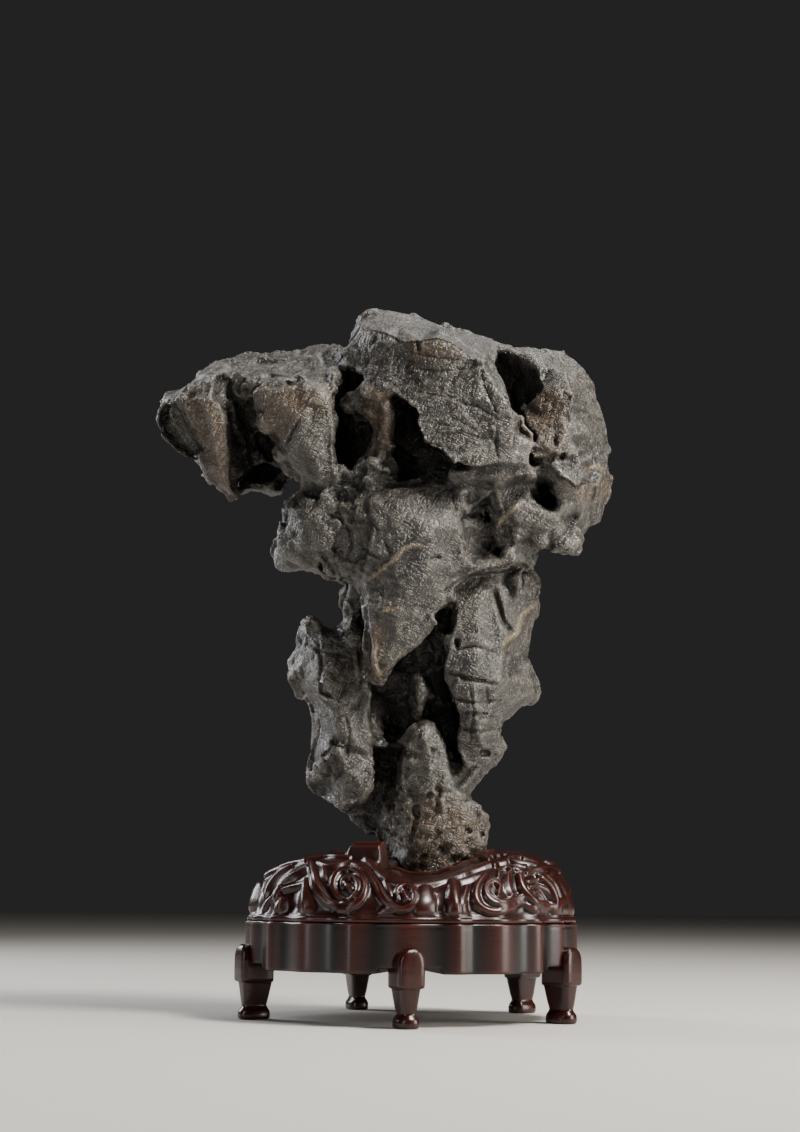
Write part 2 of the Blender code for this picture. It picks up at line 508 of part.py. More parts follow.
def build_dome():
    """The carved top: a bead at its foot, an upright side, a round shoulder and a level crown to cut the well in."""
    bm = bmesh.new()
    bottom = APRON_TOP + GAP
    rings = [ring(bm, DOME_RADIUS + BEAD_PROUD, bottom),
             ring(bm, DOME_RADIUS + BEAD_PROUD, bottom + BEAD_STEP),
             ring(bm, DOME_RADIUS, bottom + BEAD_STEP),
             ring(bm, DOME_RADIUS, WALL_TOP)]
    for t in SHOULDER[1:]:
        radius = DOME_RADIUS + (CREST_RADIUS - DOME_RADIUS) * t
        verts = ring(bm, radius, WALL_TOP, SCALLOP * (1 - t))
        for vert, (angle, _) in zip(verts, plan_angles()):
            rise = math.sqrt(1 - (1 - t) ** SHOULDER_POWER)
            vert.co.z = WALL_TOP + (crest_height(angle) - WALL_TOP) * rise
        rings.append(verts)
    inner = ring(bm, CROWN_RADIUS, WALL_TOP, 0)
    for vert, (angle, _) in zip(inner, plan_angles()):
        vert.co.z = crest_height(angle) - CROWN_DIP
    rings.append(inner)
    join_rings(bm, rings)
    return new_object("stand_top", finished_mesh("stand_top", bm), ROSEWOOD)


WELL_REACH = 110 * MM               # the stone up to this height shapes the well
WELL_CLEARANCE = 1.0 * MM
WELL_HEADROOM = 60 * MM             # how far the cutter stands out above the stone's own points
FLAT_ENOUGH = math.radians(3)


def cut_well(dome, rock):
    """Carve the well to fit the stone's foot, with a little clearance all round."""
    foot = [v.co.copy() for v in rock.data.vertices if v.co.z < WELL_REACH]
    middle = sum(foot, Vector()) / len(foot)
    bm = bmesh.new()
    for place in foot:
        outward = Vector((place.x - middle.x, place.y - middle.y, 0)).normalized() * WELL_CLEARANCE
        bm.verts.new(place + outward - Vector((0, 0, GAP if place.z < FOOT_LEVEL + GAP else 0)))
        bm.verts.new(place + outward + Vector((0, 0, WELL_HEADROOM)))
    hull = bmesh.ops.convex_hull(bm, input=bm.verts[:])
    spare = {v for v in hull["geom_interior"] + hull["geom_unused"] if isinstance(v, bmesh.types.BMVert)}
    bmesh.ops.delete(bm, geom=list(spare), context="VERTS")
    bmesh.ops.dissolve_limit(bm, angle_limit=FLAT_ENOUGH, verts=bm.verts[:], edges=bm.edges[:])
    cutter = new_object("well_cutter", finished_mesh("well_cutter", bm), ROSEWOOD)
    carve(dome, cutter)


def carve(piece, cutter):
    """Subtract a cutter from a piece, and hide the cutter."""
    cutter.hide_render = True
    cutter.display_type = "WIRE"
    cut = piece.modifiers.new("carve", "BOOLEAN")
    cut.operation = "DIFFERENCE"
    cut.object = cutter


# name, angle of its place on the plan, angle that its face is turned to, degrees from +X
LEGS = (("leg_front", 269.0, 293.0), ("leg_right", 334.5, 318.0), ("leg_back_right", 42.5, 42.5),
        ("leg_back_left", 111.0, 111.0), ("leg_left", 195.0, 208.0))
LEG_SIDES = 12
LEG_SQUARENESS = 0.45               # 1 would make its plan an ellipse, 0 a rectangle
# height, inner end, outer end and half width in mm, from the pad up to the top of the tab
LEG_SECTIONS = ((0.0, -13.0, 4.0, 5.5), (1.2, -14.5, 5.2, 6.8), (5.6, -14.5, 5.2, 6.8), (7.8, -13.2, 4.0, 5.6),
                (9.6, -12.4, 3.2, 5.0), (21.5, -14.5, 4.2, 6.2), (22.6, -15.0, 6.4, 7.9),
                (24.0, -15.0, 7.0, 8.4), (38.0, -15.0, 7.0, 8.4), (42.4, -15.0, 6.6, 7.2),
                (44.7, -15.0, 5.4, 4.4))


def build_leg(name, place_degrees, face_degrees, clearance):
    """One bracket leg: pad, tapering leg, and the tab that overlaps the apron."""
    place, face = math.radians(place_degrees), math.radians(face_degrees)
    foot = Vector((math.cos(place), math.sin(place), 0)) * APRON_RADIUS
    outward = Vector((math.cos(face), math.sin(face), 0))
    sideways = Vector((-outward.y, outward.x, 0))
    bm = bmesh.new()
    rings = []
    for height, inner, outer, half_width in LEG_SECTIONS:
        verts = []
        for i in range(LEG_SIDES):
            turn = 2 * math.pi * (i + 0.5) / LEG_SIDES
            across, along = math.cos(turn), math.sin(turn)
            along = math.copysign(abs(along) ** LEG_SQUARENESS, along)
            across = math.copysign(abs(across) ** LEG_SQUARENESS, across)
            reach = (inner + outer) / 2 + (outer - inner) / 2 * across
            verts.append(bm.verts.new(foot + outward * reach * MM + sideways * half_width * along * MM
                                      + Vector((0, 0, height * MM))))
        rings.append(verts)
    join_rings(bm, rings)
    leg = new_object(name, finished_mesh(name, bm), ROSEWOOD)
    carve(leg, clearance)
    return leg


def build_apron_clearance():
    """The space that the apron takes, grown by the gap: the legs are cut to it."""
    bm = bmesh.new()
    join_rings(bm, [ring(bm, APRON_RADIUS + GAP, APRON_BOTTOM - GAP), ring(bm, APRON_RADIUS + GAP, WALL_TOP)])
    return new_object("apron_clearance", finished_mesh("apron_clearance", bm), ROSEWOOD)


def centre_on_floor(pieces):
    """Move everything so that the box around the object is centred on the origin."""
    depsgraph = bpy.context.evaluated_depsgraph_get()
    corners = [v.co for piece in pieces for v in piece.evaluated_get(depsgraph).data.vertices]
    middle = Vector(((min(c.x for c in corners) + max(c.x for c in corners)) / 2,
                     (min(c.y for c in corners) + max(c.y for c in corners)) / 2, 0))
    for piece in bpy.context.scene.objects:
        piece.data.transform(Matrix.Translation(-middle))
        piece.data.update()


rock = build_rock()
apron = build_apron()
dome = build_dome()
cut_well(dome, rock)
clearance = build_apron_clearance()
legs = [build_leg(name, place, face, clearance) for name, place, face in LEGS]
bpy.context.view_layer.update()
centre_on_floor([rock, apron, dome] + legs)
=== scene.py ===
"""A scholars' rock, dark, wrinkled and waxed, resting in the well of its carved rosewood stand.

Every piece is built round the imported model: metres, +Z up, the front of the object faces -Y.
"""

import math

import bmesh
import bpy
import numpy as np
from mathutils import Matrix, Vector, noise
from mathutils.bvhtree import BVHTree
from mathutils.geometry import delaunay_2d_cdt
from mathutils.kdtree import KDTree


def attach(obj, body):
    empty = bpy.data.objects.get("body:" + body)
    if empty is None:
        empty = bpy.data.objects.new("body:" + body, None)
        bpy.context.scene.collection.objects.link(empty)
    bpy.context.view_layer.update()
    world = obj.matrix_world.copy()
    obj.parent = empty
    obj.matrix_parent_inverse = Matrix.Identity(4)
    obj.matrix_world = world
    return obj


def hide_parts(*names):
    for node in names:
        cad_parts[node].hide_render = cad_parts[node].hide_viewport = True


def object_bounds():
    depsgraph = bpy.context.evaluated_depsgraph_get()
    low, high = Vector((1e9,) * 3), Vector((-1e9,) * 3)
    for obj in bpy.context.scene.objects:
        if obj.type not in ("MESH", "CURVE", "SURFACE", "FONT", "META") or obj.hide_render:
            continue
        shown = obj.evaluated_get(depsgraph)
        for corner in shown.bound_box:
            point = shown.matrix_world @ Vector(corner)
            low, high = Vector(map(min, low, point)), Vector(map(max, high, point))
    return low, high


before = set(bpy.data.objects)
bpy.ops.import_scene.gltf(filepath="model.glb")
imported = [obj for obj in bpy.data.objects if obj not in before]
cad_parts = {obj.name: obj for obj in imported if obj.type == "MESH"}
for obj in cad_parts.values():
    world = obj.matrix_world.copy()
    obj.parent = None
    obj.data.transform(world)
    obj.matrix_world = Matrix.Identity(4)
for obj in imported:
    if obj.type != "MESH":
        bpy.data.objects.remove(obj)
cad_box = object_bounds()

MM = 0.001

# ---------------------------------------------------------------- the view
# A low eye in front of the stand, looking slightly upwards. What it sees is the front elevation that the
# stone's features and the stand's carving are laid out on, in squares: u to the right and v downwards.
STAND_AXIS = Vector((20.8 * MM, 3.4 * MM, 0))
EYE = STAND_AXIS + Vector((-9.11 * MM, -1300 * MM, 77.4 * MM))
EYE_PITCH = math.radians(8.895)
EYE_ROLL = 0.0085                   # radians
PICTURE_DISTANCE = 2073.0           # from the eye to the elevation, in squares
PICTURE_MIDDLE = (400.0, 566.0)
SENSOR = 36.0                       # mm


def placed(name, data):
    """A new object in the scene."""
    thing = bpy.data.objects.new(name, data)
    bpy.context.scene.collection.objects.link(thing)
    return thing


camera_data = bpy.data.cameras.new("front_view")
camera_data.sensor_width = SENSOR
camera_data.lens = PICTURE_DISTANCE * SENSOR / (2 * PICTURE_MIDDLE[1])
camera = placed("front_view", camera_data)
camera.location = EYE
camera.rotation_euler = (Matrix.Rotation(math.pi / 2 + EYE_PITCH, 4, "X")
                         @ Matrix.Rotation(EYE_ROLL, 4, "Z")).to_euler()
bpy.context.scene.camera = camera


# ---------------------------------------------------------------- the stone
# One natural limestone, waxed and handled: broad worn faces with sharp rims between them, blind caves,
# crossing wrinkles like a walnut's, pale veins, and a granular foot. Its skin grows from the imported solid.
ROUGH_VOXEL = 1.8 * MM
FINE_VOXEL = 1.0 * MM
STONE_TRIANGLES = 190000
BOX_GAP = 0.02 * MM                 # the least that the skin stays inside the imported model's box
SIGHT_SLACK = 1.5 * MM              # how far behind other skin a point still counts as seen


def points_of(mesh):
    """The mesh's corners as rows of x, y, z."""
    flat = np.empty(len(mesh.vertices) * 3)
    mesh.vertices.foreach_get("co", flat)
    return flat.reshape(-1, 3)


def normals_of(mesh):
    """The mesh's smooth outward directions, one row a corner."""
    flat = np.empty(len(mesh.vertices) * 3)
    mesh.vertex_normals.foreach_get("vector", flat)
    return flat.reshape(-1, 3)


def place_points(mesh, points):
    """Move the mesh's corners."""
    mesh.vertices.foreach_set("co", np.ascontiguousarray(points, dtype=np.float64).ravel())
    mesh.update()


def tree_of(mesh):
    """The mesh's faces, ready for lines to be cast at them."""
    return BVHTree.FromPolygons(points_of(mesh).tolist(), [tuple(p.vertices) for p in mesh.polygons])


def with_modifiers(mesh, *settings):
    """A new mesh: the old one after a row of modifiers, each a type and its values."""
    holder = placed("holder", mesh)
    for kind, values in settings:
        modifier = holder.modifiers.new(kind.lower(), kind)
        for name, value in values.items():
            setattr(modifier, name, value)
    bpy.context.view_layer.update()
    result = bpy.data.meshes.new_from_object(holder.evaluated_get(bpy.context.evaluated_depsgraph_get()))
    bpy.data.objects.remove(holder, do_unlink=True)
    return result


def regrown(mesh, voxel, passes):
    """The mesh made again as one skin of even squares, and smoothed a number of times."""
    return with_modifiers(mesh, ("REMESH", {"mode": "VOXEL", "voxel_size": voxel}),
                          ("SMOOTH", {"factor": 0.5, "iterations": passes}))


def on_elevation(points):
    """Where points fall on the front elevation, in squares."""
    across, ahead, up = (points - np.array(EYE)).T
    depth = ahead * math.cos(EYE_PITCH) + up * math.sin(EYE_PITCH)
    level_u = across / depth * PICTURE_DISTANCE
    level_v = (ahead * math.sin(EYE_PITCH) - up * math.cos(EYE_PITCH)) / depth * PICTURE_DISTANCE
    u = PICTURE_MIDDLE[0] + level_u * math.cos(EYE_ROLL) - level_v * math.sin(EYE_ROLL)
    v = PICTURE_MIDDLE[1] + level_u * math.sin(EYE_ROLL) + level_v * math.cos(EYE_ROLL)
    return np.column_stack((u, v))


def sight_line(u, v):
    """The direction from the eye through one point of the elevation."""
    across, down = u - PICTURE_MIDDLE[0], v - PICTURE_MIDDLE[1]
    level_across = across * math.cos(EYE_ROLL) + down * math.sin(EYE_ROLL)
    level_down = down * math.cos(EYE_ROLL) - across * math.sin(EYE_ROLL)
    return Vector((level_across,
                   PICTURE_DISTANCE * math.cos(EYE_PITCH) + level_down * math.sin(EYE_PITCH),
                   PICTURE_DISTANCE * math.sin(EYE_PITCH) - level_down * math.cos(EYE_PITCH)))


def towards_eye(points):
    """Unit directions from points to the eye."""
    away = np.array(EYE) - points
    return away / np.linalg.norm(away, axis=1, keepdims=True)


def spread(mesh, values, passes):
    """Average each corner's value with its neighbours' a number of times."""
    ends = np.empty(len(mesh.edges) * 2, dtype=np.int64)
    mesh.edges.foreach_get("vertices", ends)
    a, b = ends[0::2], ends[1::2]
    count = len(mesh.vertices)
    weight = np.bincount(a, minlength=count) + np.bincount(b, minlength=count)
    weight = np.maximum(weight, 1)
    for _ in range(passes):
        total = (np.bincount(a, weights=values[b], minlength=count)
                 + np.bincount(b, weights=values[a], minlength=count))
        values = 0.5 * values + 0.5 * total / weight
    return values


def seen_from_front(mesh, passes):
    """1 where the eye sees the skin and 0 where other stone is in the way, with a soft border between."""
    tree = tree_of(mesh)
    seen = []
    for place in points_of(mesh).tolist():
        line = Vector(place) - EYE
        reach = line.length
        hit = tree.ray_cast(EYE, line / reach)
        seen.append(hit[3] is None or hit[3] > reach - SIGHT_SLACK)
    return spread(mesh, np.array(seen, dtype=float), passes)


def crossed(a, b):
    """How far round b lies from a on the elevation, as the cross product of the two."""
    return a[..., 0] * b[..., 1] - a[..., 1] * b[..., 0]


def within(places, low, high):
    """Which rows of places lie between two corners of a box."""
    return np.nonzero(((places > low) & (places < high)).all(1))[0]


def beside(line, places, reach):
    """The places within reach of a drawn line: which, how far, on which side (+1 is below a line drawn from
    left to right) and how far along it they lie."""
    line = np.array(line, dtype=float)
    which = within(places, line.min(0) - reach, line.max(0) + reach)
    near = places[which]
    best = np.full(len(which), np.inf)
    side = np.zeros(len(which))
    along = np.zeros(len(which))
    lengths = np.hypot(*np.diff(line, axis=0).T)
    run = 0.0
    for start, end, length in zip(line, line[1:], lengths):
        course = end - start
        t = np.clip((near - start) @ course / length ** 2, 0, 1)
        gap = near - (start + t[:, None] * course)
        far = np.hypot(gap[:, 0], gap[:, 1])
        closer = far < best
        best = np.where(closer, far, best)
        side = np.where(closer, np.sign(crossed(course, gap)), side)
        along = np.where(closer, (run + t * length) / lengths.sum(), along)
        run += length
    kept = best < reach
    return which[kept], best[kept], side[kept], along[kept]


def inside(outline, places, ease):
    """The places in or near a drawn outline: which, and how deep they lie in it, below 0 outside."""
    outline = np.array(outline, dtype=float)[:, :2]
    which = within(places, outline.min(0) - ease, outline.max(0) + ease)
    near = places[which]
    closed = np.vstack((outline, outline[:1]))
    whole_elevation = 1e3
    depth = beside(closed, near, whole_elevation)[1]
    odd = np.zeros(len(near), dtype=bool)
    for (u1, v1), (u2, v2) in zip(closed, closed[1:]):
        crosses = (v1 > near[:, 1]) != (v2 > near[:, 1])
        if v1 != v2:
            odd ^= crosses & (near[:, 0] < u1 + (near[:, 1] - v1) * (u2 - u1) / (v2 - v1))
    return which, np.where(odd, depth, -depth)


# Broad faces: an outline, and points inside it. Each point's third number is the depth in mm it is drawn to,
# towards the eye from the plane through the stand's axis. Between them the face is made of flat triangles.
CROWN_RIM = ((395, 343, 37), (404, 342, 41), (420, 341, 45), (437, 338, 49), (450, 342, 51), (462, 350, 53),
             (471, 358, 55), (485, 362, 57))
FACES = (
    # the crown's front, which turns a little to the left
    ((*CROWN_RIM, (497, 380, 59), (507, 398, 61), (515, 420, 61), (513, 440, 59), (511, 462, 57),
      (485, 468, 60), (470, 468, 61), (455, 463, 60), (440, 450, 59), (424, 445, 57), (417, 424, 54),
      (412, 406, 51), (402, 399, 48), (392, 388, 44), (390, 370, 39), (396, 356, 37)),
     ((440, 380, 52), (470, 400, 57), (450, 430, 58), (485, 440, 60))),
    # the crown's upper bevel
    (((366, 311, 0), (400, 311, -2), (440, 322, -2), (475, 331, 0), (503, 341, 6), (500, 347, 14),
      (490, 352, 30), *reversed(CROWN_RIM), (385, 333, 34), (372, 330, 28), (362, 322, 16)),
     ((400, 326, 24), (440, 332, 32), (470, 344, 30))),
    # its left flank, scooped out below the bevel
    (((362, 322, 18), (372, 330, 28), (385, 333, 34), (395, 343, 37), (396, 356, 38), (390, 370, 40),
      (392, 388, 44), (378, 380, 38), (365, 376, 32), (352, 374, 25), (338, 366, 17), (343, 351, 18),
      (352, 338, 17)),
     ((384, 348, 34), (368, 352, 29))),
    # the brown face of the right lobe, between the gully and the lobe's ridge
    (((522, 404, 26), (530, 397, 31), (540, 388, 33), (541, 370, 23), (552, 364, 27), (566, 370, 34),
      (573, 395, 44), (573, 404, 45), (569, 412, 46), (566, 424, 47), (566, 438, 49), (560, 452, 50),
      (545, 459, 50), (530, 462, 52), (516, 464, 54), (513, 450, 56), (514, 436, 52), (518, 420, 36)),
     ((545, 420, 42), (532, 440, 48), (558, 388, 40))),
    # the lobe's lit right side
    (((566, 370, 20), (575, 374, 18), (582, 392, 20), (588, 410, 20), (593, 430, 20), (595, 450, 20),
      (595, 470, 26), (592, 479, 34), (586, 480, 42), (576, 484, 46), (566, 476, 48), (560, 462, 49),
      (566, 438, 47), (569, 412, 45), (573, 404, 44), (573, 395, 43)),
     ((585, 400, 33), (588, 430, 37), (592, 455, 39), (580, 460, 46))),
    # the left arm's brown face
    (((261, 385, 26), (290, 384, 31), (318, 386, 34), (333, 392, 31), (335, 420, 34), (334, 450, 34),
      (338, 485, 31), (318, 490, 31), (303, 478, 30), (291, 470, 28), (281, 450, 28), (273, 432, 27),
      (263, 425, 25), (258, 405, 25)),
     ((300, 420, 36), (310, 450, 38), (285, 405, 33), (320, 470, 36), (275, 400, 31), (290, 445, 34))),
    # the limb that hangs beyond it
    (((187, 403, 8), (200, 399, 13), (222, 400, 13), (226, 420, 12), (229, 450, 11), (232, 480, 8),
      (235, 496, 4), (224, 491, 4), (213, 480, 3), (205, 465, 5), (199, 447, 6), (192, 425, 7)),
     ((210, 420, 14), (216, 450, 13), (221, 475, 9))),
    # the block under the arm
    (((302, 492, 26), (330, 500, 33), (352, 510, 38), (358, 540, 41), (360, 565, 38), (352, 578, 30),
      (330, 577, 26), (300, 568, 20), (283, 560, 14), (278, 545, 13), (284, 527, 18), (290, 508, 22)),
     ((305, 518, 32), (320, 545, 35), (335, 525, 37), (300, 545, 29), (340, 560, 34))),
    # the belly, down to the nose
    (((366, 500, 46), (385, 486, 43), (420, 485, 43), (455, 484, 43), (462, 500, 47), (466, 530, 51),
      (458, 565, 46), (447, 584, 45), (440, 610, 44), (428, 630, 44), (415, 647, 42), (395, 667, 43),
      (380, 679, 40), (371, 672, 40), (368, 640, 45), (366, 605, 48), (362, 580, 46), (366, 550, 53),
      (372, 525, 54)),
     ((402, 516, 59), (432, 526, 60), (395, 560, 57), (430, 570, 56), (400, 600, 53), (396, 640, 47))),
    # the column at the right
    (((452, 588, 33), (470, 574, 31), (500, 570, 27), (525, 562, 20), (540, 585, 4), (541, 610, 2),
      (533, 640, 5), (525, 655, 8), (533, 680, 7), (536, 692, 4), (524, 700, 13), (505, 714, 23),
      (499, 740, 22), (503, 750, 15), (490, 764, 20), (468, 768, 27), (459, 745, 36), (456, 715, 39),
      (446, 690, 38), (442, 668, 39), (447, 640, 39), (455, 615, 38)),
     ((480, 600, 37), (505, 600, 28), (478, 640, 41), (505, 640, 30), (472, 690, 44), (500, 680, 36),
      (478, 730, 42), (525, 600, 15))),
    # the tower on the left
    (((301, 628, 4), (312, 620, 10), (322, 630, 15), (340, 638, 17), (352, 647, 18), (354, 670, 21),
      (352, 690, 25), (340, 700, 27), (325, 700, 25), (310, 688, 12), (301, 670, 5), (297, 650, 2)),
     ((320, 655, 20), (335, 665, 24), (325, 686, 28))),
    # the finger under it
    (((331, 704, 28), (345, 705, 30), (361, 708, 26), (365, 730, 25), (370, 755, 26), (370, 780, 28),
      (364, 798, 28), (350, 803, 28), (341, 795, 28), (343, 770, 32), (341, 750, 28), (335, 735, 28),
      (331, 718, 29)),
     ((352, 740, 32), (356, 775, 34))),
    # the inner wall of the central cave
    (((366, 706, 22), (375, 714, 18), (384, 728, 15), (392, 741, 13), (384, 746, 14), (371, 744, 19)),
     ((376, 730, 18),)),
    # the foot
    (((403, 748, 35), (412, 730, 38), (425, 720, 40), (437, 724, 39), (445, 740, 38), (451, 765, 37),
      (461, 790, 35), (477, 804, 28), (484, 820, 24), (486, 838, 22), (482, 850, 24), (470, 857, 28),
      (450, 864, 31), (430, 867, 33), (410, 865, 32), (401, 850, 31), (403, 820, 33), (400, 790, 34),
      (399, 765, 35)),
     ((425, 745, 42), (432, 780, 41), (440, 815, 39), (466, 825, 34), (425, 840, 38), (455, 845, 35))),
)
FACE_EASE = 3.0                     # squares over which a face blends into what surrounds it
FACE_PULL = 0.9                     # the share of the way to its face that the skin is drawn
FACE_CALM = 0.7                     # how much less chipped a broad face is

# Hollows: depth in mm at the bottom, squares from the mouth to the bottom, outline
HOLLOWS = (
    # the pit in the crown's flank
    (5, 4, ((368, 379), (375, 378), (378, 383), (374, 388), (368, 386))),
    # the dark channel down the belly's right side, and the shallow one on its left
    (9, 15, ((457, 492), (476, 482), (490, 494), (500, 520), (500, 550), (488, 566), (470, 566),
             (460, 540))),
    (3, 7, ((375, 470), (392, 470), (398, 488), (384, 500), (372, 490))),
    # the floor of the recess beside the left arm
    (22, 4, ((237, 478), (262, 463), (281, 468), (299, 480), (300, 492), (286, 508), (262, 508),
             (238, 506))),
    # the side of the column's waist
    (4, 8, ((505, 650), (525, 655), (524, 675), (508, 680))),
    # the shadowed side of the left arm, between its claw and its limb
    (11, 5, ((166, 404), (178, 401), (186, 408), (191, 421), (198, 436), (205, 448), (200, 457), (205, 469),
             (213, 484), (203, 474), (190, 461), (174, 449), (163, 436), (159, 420), (160, 410))),
    # the ragged notches of the arm's right edge
    (7, 4, ((254, 430), (263, 431), (277, 446), (275, 461), (266, 462), (256, 446))),
    # a pit above the right lobe's eye
    (4, 3, ((553, 432), (558, 438), (558, 447), (553, 448), (551, 440))),
    # the slot beside the drop, and the one in the jaw
    (4, 2, ((509, 526), (512, 526), (514, 545), (511, 545))),
    (4, 2, ((549, 530), (552, 530), (552, 546), (549, 545))),
    # the hole and the pockets in the column
    (6, 3, ((455, 638), (460, 640), (459, 650), (454, 648))),
    (5, 3, ((480, 748), (491, 750), (490, 757), (479, 756))),
    (4, 3, ((506, 622), (512, 626), (513, 634), (507, 632))),
    # the hollow under the tower's finger
    (6, 6, ((306, 782), (333, 778), (335, 798), (318, 802))),
    # slots and pits in the foot
    (6, 3, ((436, 786), (441, 790), (439, 812), (435, 808))),
    (7, 4, ((412, 806), (420, 802), (420, 818), (412, 842), (406, 842), (414, 820))),
    (4, 3, ((466, 826), (474, 830), (470, 836), (464, 832))),
    (4, 3, ((452, 855), (458, 857), (455, 863), (450, 860))),
    (4, 3, ((478, 812), (484, 820), (480, 824), (475, 816))),
)

# Steps: the stone stands proud above each line, drawn from left to right, and drops away below it.
# height in mm, reach in squares, line
STEPS = (
    (1.2, 8, ((362, 322), (372, 330), (385, 333), (404, 342), (420, 341), (437, 338), (450, 342),
              (462, 350), (471, 358), (485, 362))),
    (3.0, 18, ((540, 462), (551, 466), (560, 476), (568, 480), (576, 487), (588, 481), (598, 482))),
    (3.0, 14, ((440, 592), (452, 583), (470, 574), (488, 568), (506, 564), (520, 560))),
    (1.2, 10, ((440, 667), (455, 672), (470, 676), (485, 680), (497, 683))),
    (2.5, 10, ((318, 757), (328, 750), (340, 745), (352, 746))),
    (2.0, 8, ((460, 713), (480, 712), (500, 716))),
)
# Rims stand up and cracks cut in along a line: height in mm (below 0 in a crack), half width in squares, line
RIMS = (
    (2.2, 3.0, ((500, 382), (507, 395), (513, 410), (516, 424))),
    (2.4, 2.6, ((363, 315), (357, 330), (350, 340), (343, 350), (338, 362), (332, 366))),
    (2.0, 2.6, ((200, 378), (190, 388), (180, 398), (171, 405), (170, 412), (173, 424), (180, 434))),
    (1.8, 2.6, ((335, 418), (332, 445), (334, 468), (338, 490))),
    (1.5, 3.0, ((365, 580), (372, 577), (383, 568), (395, 558), (402, 550), (412, 545), (425, 547))),
    (1.2, 2.5, ((497, 525), (507, 515), (522, 500))),
    (1.5, 2.6, ((535, 603), (522, 615), (518, 632), (508, 640), (502, 650))),
    (1.6, 2.6, ((376, 640), (374, 655), (376, 668), (380, 680))),
    (1.3, 2.2, ((340, 480), (350, 494), (358, 506))),
    (1.3, 2.2, ((336, 500), (350, 510), (366, 516))),
    (1.4, 2.4, ((320, 622), (335, 624), (350, 634))),
    (1.6, 2.4, ((345, 598), (352, 612), (350, 626), (344, 632))),
    (1.2, 2.0, ((566, 368), (572, 380), (574, 394), (570, 408))),
    (1.0, 2.2, ((568, 476), (580, 463), (594, 459))),
    (1.3, 2.4, ((240, 389), (248, 393), (254, 387), (262, 382), (275, 384), (288, 380), (302, 384),
                (318, 384))),
    (1.4, 2.4, ((186, 402), (196, 398), (208, 400), (222, 398))),
    (1.6, 2.2, ((192, 424), (202, 446), (198, 457), (205, 472))),
    (1.8, 2.4, ((160, 392), (155, 402), (153, 416), (157, 430), (164, 442))),
    (1.4, 2.4, ((470, 716), (480, 722), (494, 719))),
    (0.8, 3.0, ((370, 492), (380, 505), (392, 517), (396, 530))),
    (1.2, 2.6, ((430, 470), (450, 474), (472, 472))),
    (-1.0, 1.6, ((281, 446), (290, 462), (300, 470))),
    (-1.6, 1.6, ((340, 520), (350, 530), (352, 545), (346, 560))),
    (-1.6, 1.6, ((360, 545), (370, 553), (382, 560))),
    (-0.8, 1.6, ((452, 495), (456, 508), (454, 520))),
    (1.4, 2.2, ((272, 373), (290, 362), (310, 356), (326, 350))),
    (1.4, 2.2, ((291, 665), (300, 690), (312, 714), (312, 748), (304, 768))),
    (-1.8, 1.6, ((302, 416), (293, 430), (286, 445))),
    (-1.3, 1.6, ((366, 512), (370, 520), (377, 528), (378, 535))),
    (-0.8, 1.6, ((385, 540), (390, 555))),
    (-1.8, 1.8, ((328, 515), (338, 517), (346, 525))),
    (-1.8, 1.8, ((318, 550), (328, 562), (338, 578))),
    (-1.6, 1.8, ((333, 562), (343, 578))),
    (-1.6, 1.4, ((448, 672), (468, 679), (498, 684))),
    (-1.5, 1.4, ((452, 698), (475, 703), (500, 700))),
    (-1.3, 1.4, ((470, 684), (474, 712), (470, 742))),
    (-1.2, 1.4, ((486, 686), (490, 715))),
    (-1.5, 1.4, ((460, 727), (480, 732), (498, 728))),
    (-1.2, 1.4, ((455, 650), (475, 646), (500, 655))),
    (-1.2, 1.4, ((300, 640), (320, 652), (345, 655))),
    (-1.2, 1.4, ((306, 690), (325, 694), (345, 705))),
    (-1.4, 1.5, ((318, 640), (322, 665), (318, 690))),
    (-1.2, 1.4, ((345, 712), (350, 735), (346, 760))),
    (-3.5, 2.6, ((494, 588), (499, 605), (503, 620), (510, 632))),
    (-1.6, 1.6, ((417, 340), (419, 352))),
    (-1.6, 2.0, ((358, 640), (360, 660), (361, 690))),
    (-2.5, 3.0, ((320, 700), (322, 720), (325, 745))),
    (-2.0, 2.0, ((430, 560), (440, 556))),
    (-0.5, 1.3, ((425, 420), (450, 426), (475, 436), (500, 441))),
    (-0.45, 1.3, ((440, 414), (465, 424), (490, 437))),
    (-0.45, 1.3, ((430, 428), (455, 441), (478, 450))),
    (-0.7, 1.3, ((405, 388), (430, 394), (460, 398))),
    (-0.7, 1.3, ((455, 400), (478, 407), (500, 419))),
    (-0.6, 1.3, ((462, 398), (470, 414), (482, 428))),
    (-1.0, 1.3, ((482, 382), (490, 398), (498, 416))),
    (-1.0, 1.3, ((480, 366), (484, 384))),
    (-1.0, 1.3, ((497, 425), (496, 445), (498, 462))),
    (-0.6, 1.3, ((412, 368), (440, 371), (470, 368))),
    (-0.6, 1.3, ((410, 352), (440, 358), (468, 360))),
)

